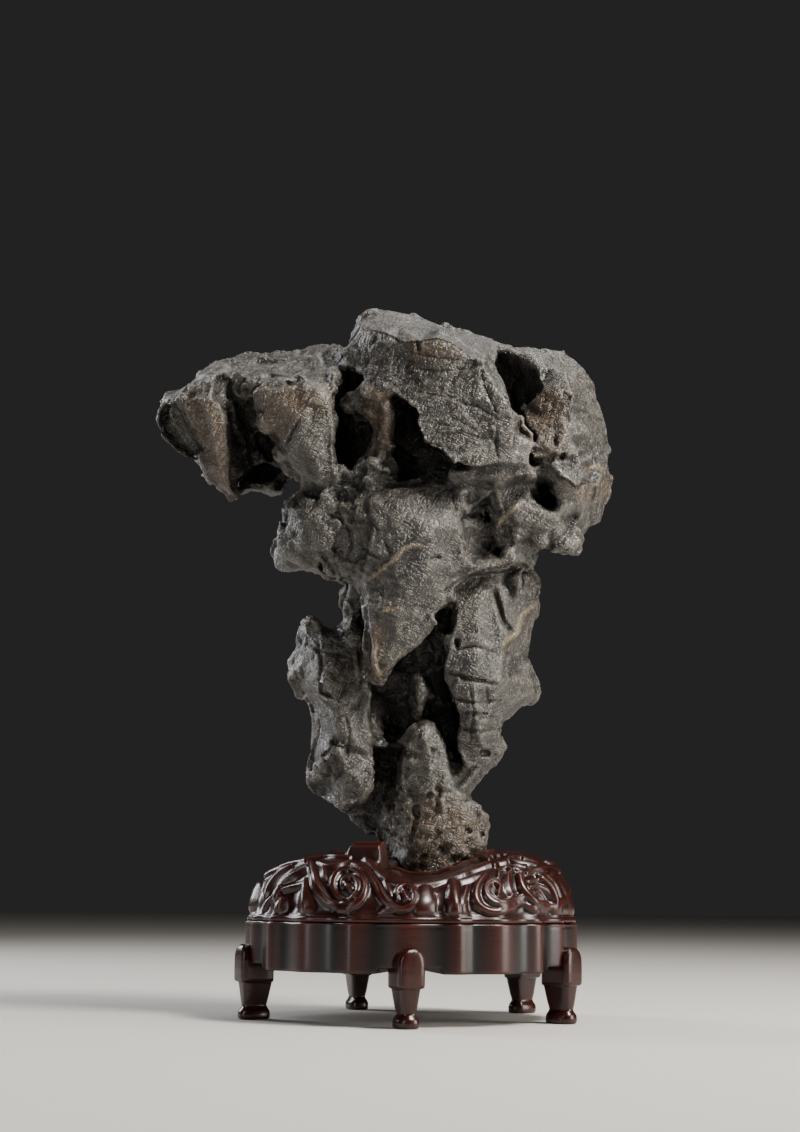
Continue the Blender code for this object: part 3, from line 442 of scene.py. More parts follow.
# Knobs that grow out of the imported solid: place and depth on the elevation, then half width, half height and
# half depth in mm, and lean in degrees. Their few flat sides reach a little past those sizes.
KNOBS = (
    # what ties the crown to the lobe and the belly, and the belly to the column
    (514, 425, 46, 6, 9, 9, 0), (517, 443, 49, 7, 9, 9, 0), (524, 444, 48, 7, 10, 8, 0),
    (519, 458, 50, 8, 6, 8, 0), (506, 461, 52, 8, 5, 8, 0), (470, 477, 42, 14, 6, 10, 0),
    (496, 476, 45, 14, 6, 10, 0), (522, 473, 44, 12, 6, 10, 0), (450, 590, 35, 9, 10, 7, 20),
    (472, 588, 34, 13, 13, 7, 0), (500, 585, 31, 14, 13, 7, 0), (442, 600, 36, 5, 8, 6, 30),
    (490, 566, 33, 12, 6, 8, 0), (512, 562, 28, 10, 8, 8, 0), (524, 557, 20, 9, 10, 8, 0),
    (476, 566, 38, 10, 5, 6, -20),
    # the lip over the cave beside the pillar, the pillar's shoulder, and the lumps under the cave
    (356, 402, 22, 9, 6, 8, -20), (372, 396, 33, 8, 5, 8, 30), (388, 408, 40, 5, 9, 5, -10),
    (352, 484, 25, 8, 7, 8, 0), (361, 474, 30, 5, 6, 6, 0), (342, 476, 29, 4, 8, 5, 0),
    (372, 463, 39, 6, 5, 5, 30), (384, 472, 41, 6, 5, 5, 0), (368, 478, 38, 5, 5, 4, 0),
    # the arm's brown face
    (264, 402, 19, 8, 11, 8, 0), (270, 420, 20, 8, 9, 8, 20), (284, 452, 20, 7, 9, 8, 30),
    # the eye's inner wall, the lobe's drop, the hook and the jaw
    (560, 497, 33, 4, 11, 8, -15), (508, 557, 36, 5, 6, 5, 0), (566, 545, 26, 8, 5, 7, 0),
    (572, 550, 24, 5, 4, 5, 0), (540, 542, 35, 6, 5, 6, 0), (556, 544, 28, 6, 5, 6, 0),
    # knobs on the belly's left and the block beside it
    (345, 508, 36, 6, 5, 4, 30), (352, 526, 40, 7, 5, 4, 20), (340, 542, 36, 6, 6, 4, 0),
    (326, 500, 29, 6, 5, 4, 0), (332, 566, 26, 8, 6, 5, 10), (284, 540, 9, 5, 14, 9, -14),
    # the spur's strands between block and tower
    (353, 594, 14, 4, 9, 5, 10), (347, 610, 13, 3, 9, 4, -8), (356, 610, 15, 3, 9, 4, 5),
    (350, 626, 15, 5, 6, 5, 30), (356, 640, 17, 6, 8, 5, 20),
    # the tower's knob, ledge and heel
    (312, 628, 10, 5, 7, 7, 0), (325, 690, 28, 6, 9, 4, 0), (341, 752, 30, 8, 4, 4, 10),
    (322, 768, 16, 7, 6, 7, 0), (368, 640, 30, 3, 14, 6, 0),
    # the inner wall and the bony spur of the central cave, and knobs on the column
    (372, 730, 17, 4, 11, 6, -15), (380, 742, 15, 6, 3, 5, 20), (421, 700, 24, 4, 13, 6, 0),
    (432, 694, 22, 4, 4, 5, 0), (419, 682, 18, 5, 5, 6, 0), (446, 640, 34, 3, 6, 4, 0),
    # the foot's right shoulder
    (470, 812, 26, 8, 7, 6, 0), (474, 836, 24, 8, 9, 6, 0),
)
KNOB_SWELL = 1.12

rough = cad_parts["rock"].data.copy()
merged = bmesh.new()
merged.from_mesh(rough)
bmesh.ops.remove_doubles(merged, verts=merged.verts[:], dist=1e-6)
for u, v, depth, width, height, thickness, lean in KNOBS:
    course = sight_line(u, v)
    seat = EYE + course * (STAND_AXIS.y - depth * MM - EYE.y) / course.y
    shape = (Matrix.Translation(seat) @ Matrix.Rotation(math.radians(lean), 4, "Y")
             @ Matrix.Diagonal((width * MM, thickness * MM, height * MM, 1)))
    bmesh.ops.create_icosphere(merged, subdivisions=1, radius=KNOB_SWELL, matrix=shape)
merged.to_mesh(rough)
merged.free()
skin = regrown(rough, ROUGH_VOXEL, 5)


def shape_faces(points, seen):
    """Draw the skin onto the broad faces: fully where two faces meet, and eased in at their free edges."""
    places = on_elevation(points)
    lines = -towards_eye(points)
    wanted = np.full(len(points), np.nan)
    hold = np.zeros(len(points))
    rounding = 0.001
    for outline, middle in FACES:
        corners = np.array(outline + middle, dtype=float)
        rim = [(i, (i + 1) % len(outline)) for i in range(len(outline))]
        _, _, facets, origins, _, _ = delaunay_2d_cdt([Vector(c[:2]) for c in corners], rim,
                                                      [list(range(len(outline)))], 1, 1e-4)
        which, depth = inside(outline, places, FACE_EASE)
        hold[which] += np.clip(np.where(depth > 0, depth, FACE_EASE + depth) / FACE_EASE, 0, 1)
        near = places[which]
        for facet in facets:
            a, b, c = (corners[origins[i][0]] for i in facet)
            area = crossed(b - a, c - a)
            p = crossed(b[:2] - near, c[:2] - near) / area
            q = crossed(c[:2] - near, a[:2] - near) / area
            held = (p >= -rounding) & (q >= -rounding) & (p + q <= 1 + rounding)
            wanted[which[held]] = (a[2] * p + b[2] * q + c[2] * (1 - p - q))[held]
    hold = np.where(np.isnan(wanted), 0, np.clip(hold, 0, 1) * seen * FACE_PULL)
    shift = (STAND_AXIS.y - points[:, 1] - np.nan_to_num(wanted) * MM) / lines[:, 1] * hold
    return points + lines * shift[:, None], hold


def eased(t):
    """A smooth step from 0 to 1."""
    t = np.clip(t, 0, 1)
    return t * t * (3 - 2 * t)


def sink_hollows(points, seen):
    """Sink the hollows away from the eye. Each starts a square outside its outline."""
    places = on_elevation(points)
    push = np.zeros(len(points))
    for bottom, ease, outline in HOLLOWS:
        which, depth = inside(outline, places, 2)
        push[which] -= bottom * eased((depth + 1) / (ease + 1))
    return points + towards_eye(points) * (push * seen * MM)[:, None]


def tapered(along, steep, least=0.0):
    """A drawn line's strength along it: the least at both ends, and 1 from a little way in."""
    return np.clip(steep * np.minimum(along, 1 - along) + least, 0, 1)


def shape_lines(points, seen):
    """Raise the rims, cut the cracks and drop the steps. They all die out towards their ends."""
    places = on_elevation(points)
    push = np.zeros(len(points))
    for height, reach, line in STEPS:
        which, far, side, along = beside(line, places, reach)
        fall = np.clip(1 - far / reach, 0, 1) ** 2 * tapered(along, 6)
        push[which] += np.where(side > 0, -0.5, 0.5) * height * fall
    for height, width, line in RIMS:
        which, far, _, along = beside(line, places, width * 3)
        push[which] += height * np.exp(-(far / width) ** 2) * tapered(along, 4, 0.25)
    return points + towards_eye(points) * (push * seen * MM)[:, None]


points = points_of(skin)
seen = seen_from_front(skin, 4)
points, hold = shape_faces(points, seen)
points = sink_hollows(points, seen)
place_points(skin, points)


def pattern(points, size):
    """Soft noise between about -1 and 1 read at every point, its features about as wide as the size."""
    return np.array([noise.noise(p) for p in (points / size).tolist()])


def wandering(points, size, distance):
    """How far soft noise carries each point to and fro, each way with noise of its own."""
    apart = 0.37
    return distance * np.column_stack([pattern(points + i * apart, size) for i in range(3)])


def chip(points, size, slope, seed):
    """How far flat chips of about one size stand proud: each leans its own way, with a crisp edge."""
    random = np.random.default_rng(seed)
    low, high = points.min(0) - size, points.max(0) + size
    count = int(np.prod((high - low) / size))
    seats = random.uniform(low, high, (count, 3))
    leans = random.normal(0, slope, (count, 3))
    tree = KDTree(count)
    for i, seat in enumerate(seats.tolist()):
        tree.insert(seat, i)
    tree.balance()
    nearest = np.array([tree.find(p)[1] for p in points.tolist()])
    return ((points - seats[nearest]) * leans[nearest]).sum(1)


# Weathering: soft swells, flat chips of two sizes all over, and small chips and pits where the foot is broken
# and granular all round.
GRANULAR = ((398, 752), (412, 732), (430, 722), (444, 734), (452, 765), (480, 798), (495, 826), (490, 858),
            (440, 884), (396, 876), (366, 850), (350, 815), (374, 796), (394, 800))
GRANULAR_EASE = 8                   # squares to each side of the outline over which the grain comes in
SWELL_SIZE = 26 * MM
SWELL_HEIGHT = 1.2 * MM
PIT_SIZE = 3.6 * MM
PIT_DEPTH = 2.4 * MM
PIT_START = 0.2                     # the noise above which there is a pit
normals = normals_of(skin)
warped = points + wandering(points, 12 * MM, 3 * MM)
relief = SWELL_HEIGHT * pattern(points, SWELL_SIZE)
relief += chip(warped, 24 * MM, 0.08, 5) + chip(warped, 9 * MM, 0.06, 6)
relief *= 1 - FACE_CALM * hold
which, depth = inside(GRANULAR, on_elevation(points), GRANULAR_EASE)
granular = np.zeros(len(points))
granular[which] = np.clip(0.5 + depth / (2 * GRANULAR_EASE), 0, 1)
pits = np.clip(pattern(points, PIT_SIZE) - PIT_START, 0, 1)
relief += granular * (chip(warped, 6 * MM, 0.16, 9) - PIT_DEPTH * pits)
place_points(skin, points + normals * relief[:, None])

skin = regrown(skin, FINE_VOXEL, 1)
points = shape_lines(points_of(skin), seen_from_front(skin, 3))
place_points(skin, points)


def standing_proud(mesh, points, passes):
    """How far each corner stands off the skin as it is after a number of smoothing passes."""
    smooth = np.column_stack([spread(mesh, points[:, i], passes) for i in range(3)])
    return ((points - smooth) * normals_of(mesh)).sum(1)


# Crisper edges: whatever stands off the smoothed skin stands off it further.
SHARPENING = ((40, 0.12), (10, 0.35))   # smoothing passes, share added
SHARPENED_MOST = 1.5 * MM
for passes, share in SHARPENING:
    proud = np.clip(standing_proud(skin, points, passes), -SHARPENED_MOST, SHARPENED_MOST)
    points = points + normals_of(skin) * (share * proud)[:, None]
    place_points(skin, points)

# Wrinkles: sets of creases that cross, each long in its own direction, deeper in some places than in others.
WRINKLES = (
    # direction of the creases, spacing across and along in mm, depth in mm
    (Vector((0.85, 0.1, -0.40)), 7.0, 26.0, 0.60),
    (Vector((0.30, 0.3, 0.90)), 6.0, 18.0, 0.50),
    (Vector((-0.5, 1.0, 0.5)), 5.0, 10.0, 0.28),
)
CREASE_WIDTH = 0.10                 # in the noise's own measure, whose creases lie where it is 0
GRAIN_HEIGHT = 0.08                 # mm
bent = points + wandering(points, 18 * MM, 3 * MM)
calm = np.clip(0.5 + 1.4 * pattern(points, 40 * MM), 0.15, 1)
relief = GRAIN_HEIGHT * pattern(points, 3.0 * MM)
for course, across, along, depth in WRINKLES:
    turn = course.normalized().rotation_difference(Vector((0, 0, 1))).to_matrix()
    crease = pattern(bent @ np.array(turn).T, np.array((across * MM, across * MM, along * MM)))
    relief -= depth * calm * np.exp(-(crease / CREASE_WIDTH) ** 2)
place_points(skin, points + normals_of(skin) * (relief * MM)[:, None])
skin = with_modifiers(skin, ("DECIMATE", {"ratio": STONE_TRIANGLES / (2.0 * len(skin.polygons))}))
low, high = (np.array(corner) for corner in cad_box)
place_points(skin, np.clip(points_of(skin), low + BOX_GAP, high - BOX_GAP))
skin.shade_smooth()


def add_attribute(mesh, name, values):
    """Store one number a corner for the material to read."""
    layer = mesh.attributes.new(name, "FLOAT", "POINT")
    layer.data.foreach_set("value", np.clip(values, 0, 1).astype(np.float32))


def hollowness(mesh, reach, sample=8, rays=28, lift=0.6 * MM, blur=0.5 * MM):
    """How shut in each corner is, from 0 in the open to 1, by looking outwards from every eighth one."""
    points = points_of(mesh)
    normals = normals_of(mesh)
    tree = tree_of(mesh)
    looks = []
    for i in range(rays):
        rise = 1 - (i + 0.5) / rays
        turn = i * math.pi * (3 - math.sqrt(5))
        flat = math.sqrt(1 - rise * rise)
        looks.append(Vector((math.cos(turn) * flat, math.sin(turn) * flat, rise)))
    kd = KDTree(len(points) // sample + 1)
    shut = []
    for place, normal in zip(points[::sample], normals[::sample]):
        up = Vector(normal)
        start = Vector(place) + up * lift
        turn = Vector((0, 0, 1)).rotation_difference(up)
        blocked = sum(look.z for look in looks if tree.ray_cast(start, turn @ look, reach)[0] is not None)
        kd.insert(start, len(shut))
        shut.append(blocked / sum(look.z for look in looks))
    kd.balance()
    values = []
    for place in points.tolist():
        near = kd.find_n(place, 3)
        weights = [1 / (found[2] + blur) for found in near]
        values.append(sum(w * shut[found[1]] for w, found in zip(weights, near)) / sum(weights))
    return spread(mesh, np.array(values), 2)


def mark_wear_and_shade(mesh, passes, height, shut=0.0):
    """Mark the creases for painted shade and the edges that hands wear, by how far each corner stands off its
    surroundings. Corners that are known to be shut in count as creases too, and are painted as shade."""
    proud = standing_proud(mesh, points_of(mesh), passes) / height
    add_attribute(mesh, "crease", np.maximum(-proud, shut))
    add_attribute(mesh, "worn", proud)


# The material paints shade into the stone's colour: darkest where a corner is shut in, and darker in its
# creases.
add_attribute(skin, "hollow_shade", hollowness(skin, 40 * MM))
mark_wear_and_shade(skin, 6, 0.5 * MM)

# Where the stone is stained brown: squares over which the stain fades, outline.
STAINS = (
    (8, ((256, 386), (334, 386), (330, 410), (300, 416), (285, 440), (262, 428))),
    (6, ((186, 400), (222, 399), (228, 440), (236, 496), (216, 488), (200, 440))),
    (8, ((524, 404), (541, 387), (566, 391), (566, 438), (560, 454), (530, 462), (518, 420))),
    (5, ((562, 476), (576, 488), (612, 478), (610, 496), (580, 502), (566, 492))),
    (6, ((404, 342), (437, 339), (462, 352), (440, 362), (412, 360))),
    (12, ((396, 800), (440, 796), (470, 810), (486, 830), (480, 852), (440, 872), (400, 872), (388, 850))),
    (5, ((366, 630), (384, 622), (384, 676), (370, 680))),
    (6, ((362, 385), (392, 392), (394, 450), (372, 455), (366, 420))),
)
# The pale veins: half width in squares, line
VEINS = (
    (1.8, ((362, 584), (372, 577), (383, 568), (395, 558), (402, 550), (412, 545), (425, 547))),
    (2.2, ((496, 527), (507, 515), (522, 500))),
    (2.4, ((540, 600), (522, 615), (518, 632), (508, 640), (502, 650))),
    (2.6, ((376, 640), (374, 655), (376, 668), (382, 680))),
    (1.6, ((354, 655), (357, 680))),
    (1.4, ((380, 612), (395, 607), (404, 609))),
    (1.6, ((584, 470), (594, 465), (606, 470))),
)
places = on_elevation(points_of(skin))
seen = seen_from_front(skin, 2)
stain, vein = np.zeros(len(places)), np.zeros(len(places))
for ease, outline in STAINS:
    which, depth = inside(outline, places, ease)
    stain[which] = np.maximum(stain[which], np.clip(0.5 + depth / (2 * ease), 0, 1))
for width, line in VEINS:
    which, far, _, along = beside(line, places, 3 * width)
    vein[which] = np.maximum(vein[which], np.exp(-(far / width) ** 4) * tapered(along, 5, 0.2))
add_attribute(skin, "stain", stain * seen)
add_attribute(skin, "vein", vein * seen)


def srgb(code):
    """The linear colour of a hex value."""
    parts = [int(code[i:i + 2], 16) / 255 for i in (0, 2, 4)]
    return (*[p / 12.92 if p <= 0.04045 else ((p + 0.055) / 1.055) ** 2.4 for p in parts], 1.0)


def add_node(tree, kind, settings=(), **links):
    """Add a shader node with its settings by name. Its inputs are given by name, or as i and a number where
    names repeat, each as a value or as another node's socket."""
    node = tree.nodes.new("ShaderNode" + kind)
    for name, value in dict(settings).items():
        setattr(node, name, value)
    for name, value in links.items():
        number = name.removeprefix("i")
        socket = node.inputs[int(number) if number.isdigit() else name.replace("_", " ")]
        if isinstance(value, bpy.types.NodeSocket):
            tree.links.new(value, socket)
        else:
            socket.default_value = value
    return node


def new_material(name):
    """An empty node material with a Principled shader wired to its output."""
    material = bpy.data.materials.new(name)
    material.use_nodes = True
    return material, material.node_tree, material.node_tree.nodes["Principled BSDF"]


# The finest wrinkles: the course each set runs along, how many times longer than wide, and width in mm
CRACKLE = (
    (Vector((0.92, 0.1, -0.38)), 8.0, 2.2),
    (Vector((0.42, 0.2, 0.88)), 6.0, 2.5),
    (Vector((-0.62, 0.5, 0.60)), 4.5, 1.9),
)


def waxed_limestone():
    """Grey limestone rubbed with wax: satin on what hands reach, with painted shade in its creases and
    hollows, cut all over by fine crossing wrinkles, stained brown in places, with pale veins."""
    material, tree, shader = new_material("waxed_limestone")
    place = add_node(tree, "TexCoord").outputs["Object"]
    cloud, grain, swirl = (
        add_node(tree, "TexNoise", Vector=place, Scale=1 / (size * MM), Detail=detail, Roughness=rough)
        for size, detail, rough in ((45, 3.0, 0.5), (1.3, 3.0, 0.6), (9, 2.0, 0.5)))
    drift = add_node(tree, "VectorMath", {"operation": "SCALE"}, i0=swirl.outputs["Color"], Scale=4 * MM)
    bent = add_node(tree, "VectorMath", {"operation": "ADD"}, i0=place, i1=drift.outputs[0])
    heights = []
    for course, stretch, size in CRACKLE:
        turn = Vector((0, 0, 1)).rotation_difference(course).to_euler()
        laid = add_node(tree, "Mapping", {"vector_type": "TEXTURE"}, Vector=bent.outputs[0], Rotation=turn,
                        Scale=(1, 1, stretch))
        lines = add_node(tree, "TexNoise", Vector=laid.outputs[0], Scale=1 / (size * MM), Detail=1.0,
                         Roughness=0.5)
        level = add_node(tree, "Math", {"operation": "SUBTRACT"}, i0=lines.outputs["Fac"], i1=0.5)
        fold = add_node(tree, "Math", {"operation": "ABSOLUTE"}, i0=level.outputs[0])
        heights.append(add_node(tree, "MapRange", {"interpolation_type": "SMOOTHSTEP"}, Value=fold.outputs[0],
                                From_Max=0.09).outputs[0])
    crossing = add_node(tree, "Math", {"operation": "MULTIPLY"}, i0=heights[0], i1=heights[1])
    third = add_node(tree, "MapRange", Value=heights[2], To_Min=0.45)
    crackle = add_node(tree, "Math", {"operation": "MULTIPLY"}, i0=crossing.outputs[0], i1=third.outputs[0])
    base = add_node(tree, "ValToRGB", i0=cloud.outputs["Fac"])
    for stop, (position, code) in zip(base.color_ramp.elements, ((0.35, "34322f"), (0.65, "4e4a43"))):
        stop.position = position
        stop.color = srgb(code)
    marks = {name: add_node(tree, "Attribute", {"attribute_name": name}).outputs["Fac"]
             for name in ("worn", "crease", "hollow_shade", "stain", "vein")}
    shares = {}
    for name, value, low, high, least, most in (
            # what is read, from where to where, and what share that gives
            ("patches", swirl.outputs["Fac"], 0.3, 0.6, 0.35, 0.9),
            ("vein", marks["vein"], 0.0, 1.0, 0.0, 0.7),
            ("worn", marks["worn"], 0.2, 1.0, 0.0, 0.45),
            # the creases and the hollows give painted shade
            ("crease", marks["crease"], 0.1, 1.0, 0.0, 0.75),
            ("hollow_shade", marks["hollow_shade"], 0.45, 0.9, 0.0, 0.85),
            ("lines", crackle.outputs[0], 0.0, 1.0, 0.45, 1.1),
            ("speckle", grain.outputs["Fac"], 0.35, 0.65, 0.8, 1.2),
            ("roughness", grain.outputs["Fac"], 0.35, 0.65, 0.27, 0.50)):
        shares[name] = add_node(tree, "MapRange", Value=value, From_Min=low, From_Max=high, To_Min=least,
                                To_Max=most).outputs[0]
    brown = add_node(tree, "Math", {"operation": "MULTIPLY"}, i0=marks["stain"], i1=shares["patches"])
    dapple = add_node(tree, "Math", {"operation": "MULTIPLY"}, i0=shares["lines"], i1=shares["speckle"])
    colour = base.outputs["Color"]
    for blend, cover, over in (
            # brown stain, pale veins, paler worn edges, painted shade in the creases, dapple, painted shade in
            # the hollows
            ("MIX", brown.outputs[0], srgb("5f4b36")),
            ("MIX", shares["vein"], srgb("9c8a68")),
            ("MIX", shares["worn"], srgb("7a756c")),
            ("MIX", shares["crease"], srgb("1d1a17")),
            ("MULTIPLY", 1.0, dapple.outputs[0]),
            ("MIX", shares["hollow_shade"], srgb("0c0b0a"))):
        colour = add_node(tree, "Mix", {"data_type": "RGBA", "blend_type": blend}, i0=cover, i6=colour,
                          i7=over).outputs[2]
    tree.links.new(colour, shader.inputs["Base Color"])
    tree.links.new(shares["roughness"], shader.inputs["Roughness"])
    shader.inputs["Specular IOR Level"].default_value = 0.6
    fine = add_node(tree, "Bump", Height=grain.outputs["Fac"], Strength=0.5, Distance=0.22 * MM)
    bump = add_node(tree, "Bump", Height=crackle.outputs[0], Strength=1.0, Distance=0.45 * MM,
                    Normal=fine.outputs["Normal"])
    tree.links.new(bump.outputs["Normal"], shader.inputs["Normal"])
    return material


def new_piece(name, mesh, material, replaced):
    """Put a finished mesh in the scene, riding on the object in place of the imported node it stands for."""
    mesh.materials.clear()
    mesh.materials.append(material)
    piece = placed(name, mesh)
    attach(piece, "root")
    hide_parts(replaced)


new_piece("scholars_stone", skin, waxed_limestone(), "rock")


# ---------------------------------------------------------------- the stand's carved top
# A low dome of polished rosewood. Its plan is lobed, a bead runs round its foot, scrolls, curls and pointed
# leaves are carved all over its shoulder, and a smooth lip surrounds the well that the stone stands in.
DOME_RADIUS = 101.0 * MM
DOME_BOTTOM = 58.7 * MM
BEAD_RADIUS = 1.7 * MM
WALL_TOP = 65.0 * MM
CREST_RADIUS = 57.0 * MM
CROWN_DIP = 3 * MM                  # how far the middle lies below the crest
SHOULDER_POWER = 1.75               # 2 is a quarter round, 1 a straight slope
RIGHT_SHOULDER_POWER = 2.6
SCALLOP = 3.2 * MM                  # depth of the valleys between the plan's lobes
# turns of those valleys in degrees, and turns in degrees and heights in mm of the crest
VALLEYS = (15, 31, 52, 68, 88, 105, 126, 143, 160, 176, 191, 206.6, 221.4, 241.3, 258.1, 279.2, 290.8, 310.5,
           323.3, 340, 357)
CREST = ((0, 104.0), (45, 102.0), (90, 102.0), (135, 102.0), (180, 102.5), (225, 101.0), (243, 98.0),
         (258, 92.0), (270, 89.0), (282, 89.0), (296, 92.0), (313, 96.5), (332, 101.0), (360, 104.0))
CARVING_DEPTH = 2.4 * MM
AROUND = 756
BEAD_ROWS = 9
WALL_ROWS = 5
SHOULDER_ROWS = 82
CROWN_ROWS = 26
WALL_START = 1 + BEAD_ROWS
SHOULDER_START = WALL_START + WALL_ROWS
CROWN_START = SHOULDER_START + SHOULDER_ROWS


def wrapped_grid(name, around, along, place):
    """A sheet of squares wrapped into a closed form. place turns turns in radians and rows into points."""
    bm = bmesh.new()
    bmesh.ops.create_grid(bm, x_segments=around, y_segments=along, size=0.5)
    sheet = np.array([v.co for v in bm.verts], dtype=float) + 0.5
    row = np.rint(sheet[:, 1] * along).astype(int)
    turn = np.where(np.rint(sheet[:, 0] * around) == around, 0.0, sheet[:, 0] * 2 * math.pi)
    for vertex, point in zip(bm.verts, place(turn, row).tolist()):
        vertex.co = point
    bmesh.ops.remove_doubles(bm, verts=bm.verts[:], dist=1e-6)
    bmesh.ops.recalc_face_normals(bm, faces=bm.faces[:])
    mesh = bpy.data.meshes.new(name)
    bm.to_mesh(mesh)
    bm.free()
    return mesh


def lobe_dip(turn):
    """How deep a turn lies between two lobes of the plan, from 0 to 1."""
    degrees = np.degrees(turn) % 360
    edges = np.array((VALLEYS[-1] - 360,) + VALLEYS + (VALLEYS[0] + 360,))
    which = np.searchsorted(edges, degrees, side="right") - 1
    t = (degrees - edges[which]) / (edges[which + 1] - edges[which])
    return (0.5 + 0.5 * np.cos(2 * math.pi * t)) ** 0.9


def crest_height(turn):
    """Height of the dome's crest at a turn."""
    degrees = np.degrees(turn) % 360
    angles, heights = np.array(CREST).T
    which = np.clip(np.searchsorted(angles, degrees, side="right") - 1, 0, len(angles) - 2)
    t = eased((degrees - angles[which]) / (angles[which + 1] - angles[which]))
    return (heights[which] + (heights[which + 1] - heights[which]) * t) * MM


def around_axis(turn, radius, height):
    """Points at a turn and radius round the stand's axis."""
    x, y = STAND_AXIS.x + radius * np.cos(turn), STAND_AXIS.y + radius * np.sin(turn)
    return np.column_stack((x, y, height))


def dome_point(turn, row):
    """The uncarved dome: underside, bead, wall, shoulder and crown, row by row."""
    dip = lobe_dip(turn)
    crest = crest_height(turn)
    lobed = DOME_RADIUS - SCALLOP * dip
    bead_out, bead_seat, waist = 1.2 * MM, 0.6 * MM, 0.5 * MM
    sweep = np.clip((row - 1) / BEAD_ROWS, 0, 1) * math.pi - math.pi / 2
    bead_radius = lobed + bead_out * np.clip(np.cos(sweep), 0, 1) ** 0.7 - bead_seat
    bead_height = DOME_BOTTOM + BEAD_RADIUS * (1 + np.sin(sweep))
    up = (row - WALL_START) / WALL_ROWS
    foot = DOME_BOTTOM + 2 * BEAD_RADIUS
    wall_radius = lobed - waist * np.sin(np.clip(up, 0, 1) * math.pi)
    t = np.clip((row - SHOULDER_START) / SHOULDER_ROWS, 0, 1) ** 1.35
    power = SHOULDER_POWER + (RIGHT_SHOULDER_POWER - SHOULDER_POWER) * eased((np.cos(turn) - 0.3) / 0.6)
    shoulder_radius = DOME_RADIUS + (CREST_RADIUS - DOME_RADIUS) * t - SCALLOP * dip * (1 - t)
    shoulder_height = WALL_TOP + (crest - WALL_TOP) * np.sqrt(1 - (1 - t) ** power)
    inward = np.clip((row - CROWN_START) / CROWN_ROWS, 0, 1)
    parts = (row == 0, row <= WALL_START, row <= SHOULDER_START, row <= CROWN_START)
    radius = np.select(parts, (0.0, bead_radius, wall_radius, shoulder_radius), CREST_RADIUS * (1 - inward))
    height = np.select(parts, (DOME_BOTTOM, bead_height, foot + (WALL_TOP - foot) * up, shoulder_height),
                       crest - CROWN_DIP * eased(inward * 2))
    return around_axis(turn, radius, height)


def smooth_line(corners, steps=8):
    """A smooth curve through drawn points, each with its width as the third number."""
    corners = np.array(corners, dtype=float)
    ends = np.vstack((2 * corners[0] - corners[1], corners, 2 * corners[-1] - corners[-2]))
    t = np.arange(steps)[:, None] / steps
    runs = []
    for a, b, c, d in zip(ends, ends[1:], ends[2:], ends[3:]):
        runs.append(0.5 * (2 * b + (c - a) * t + (2 * a - 5 * b + 4 * c - d) * t ** 2
                           + (3 * b - a - 3 * c + d) * t ** 3))
    return np.vstack(runs + [corners[-1:]])


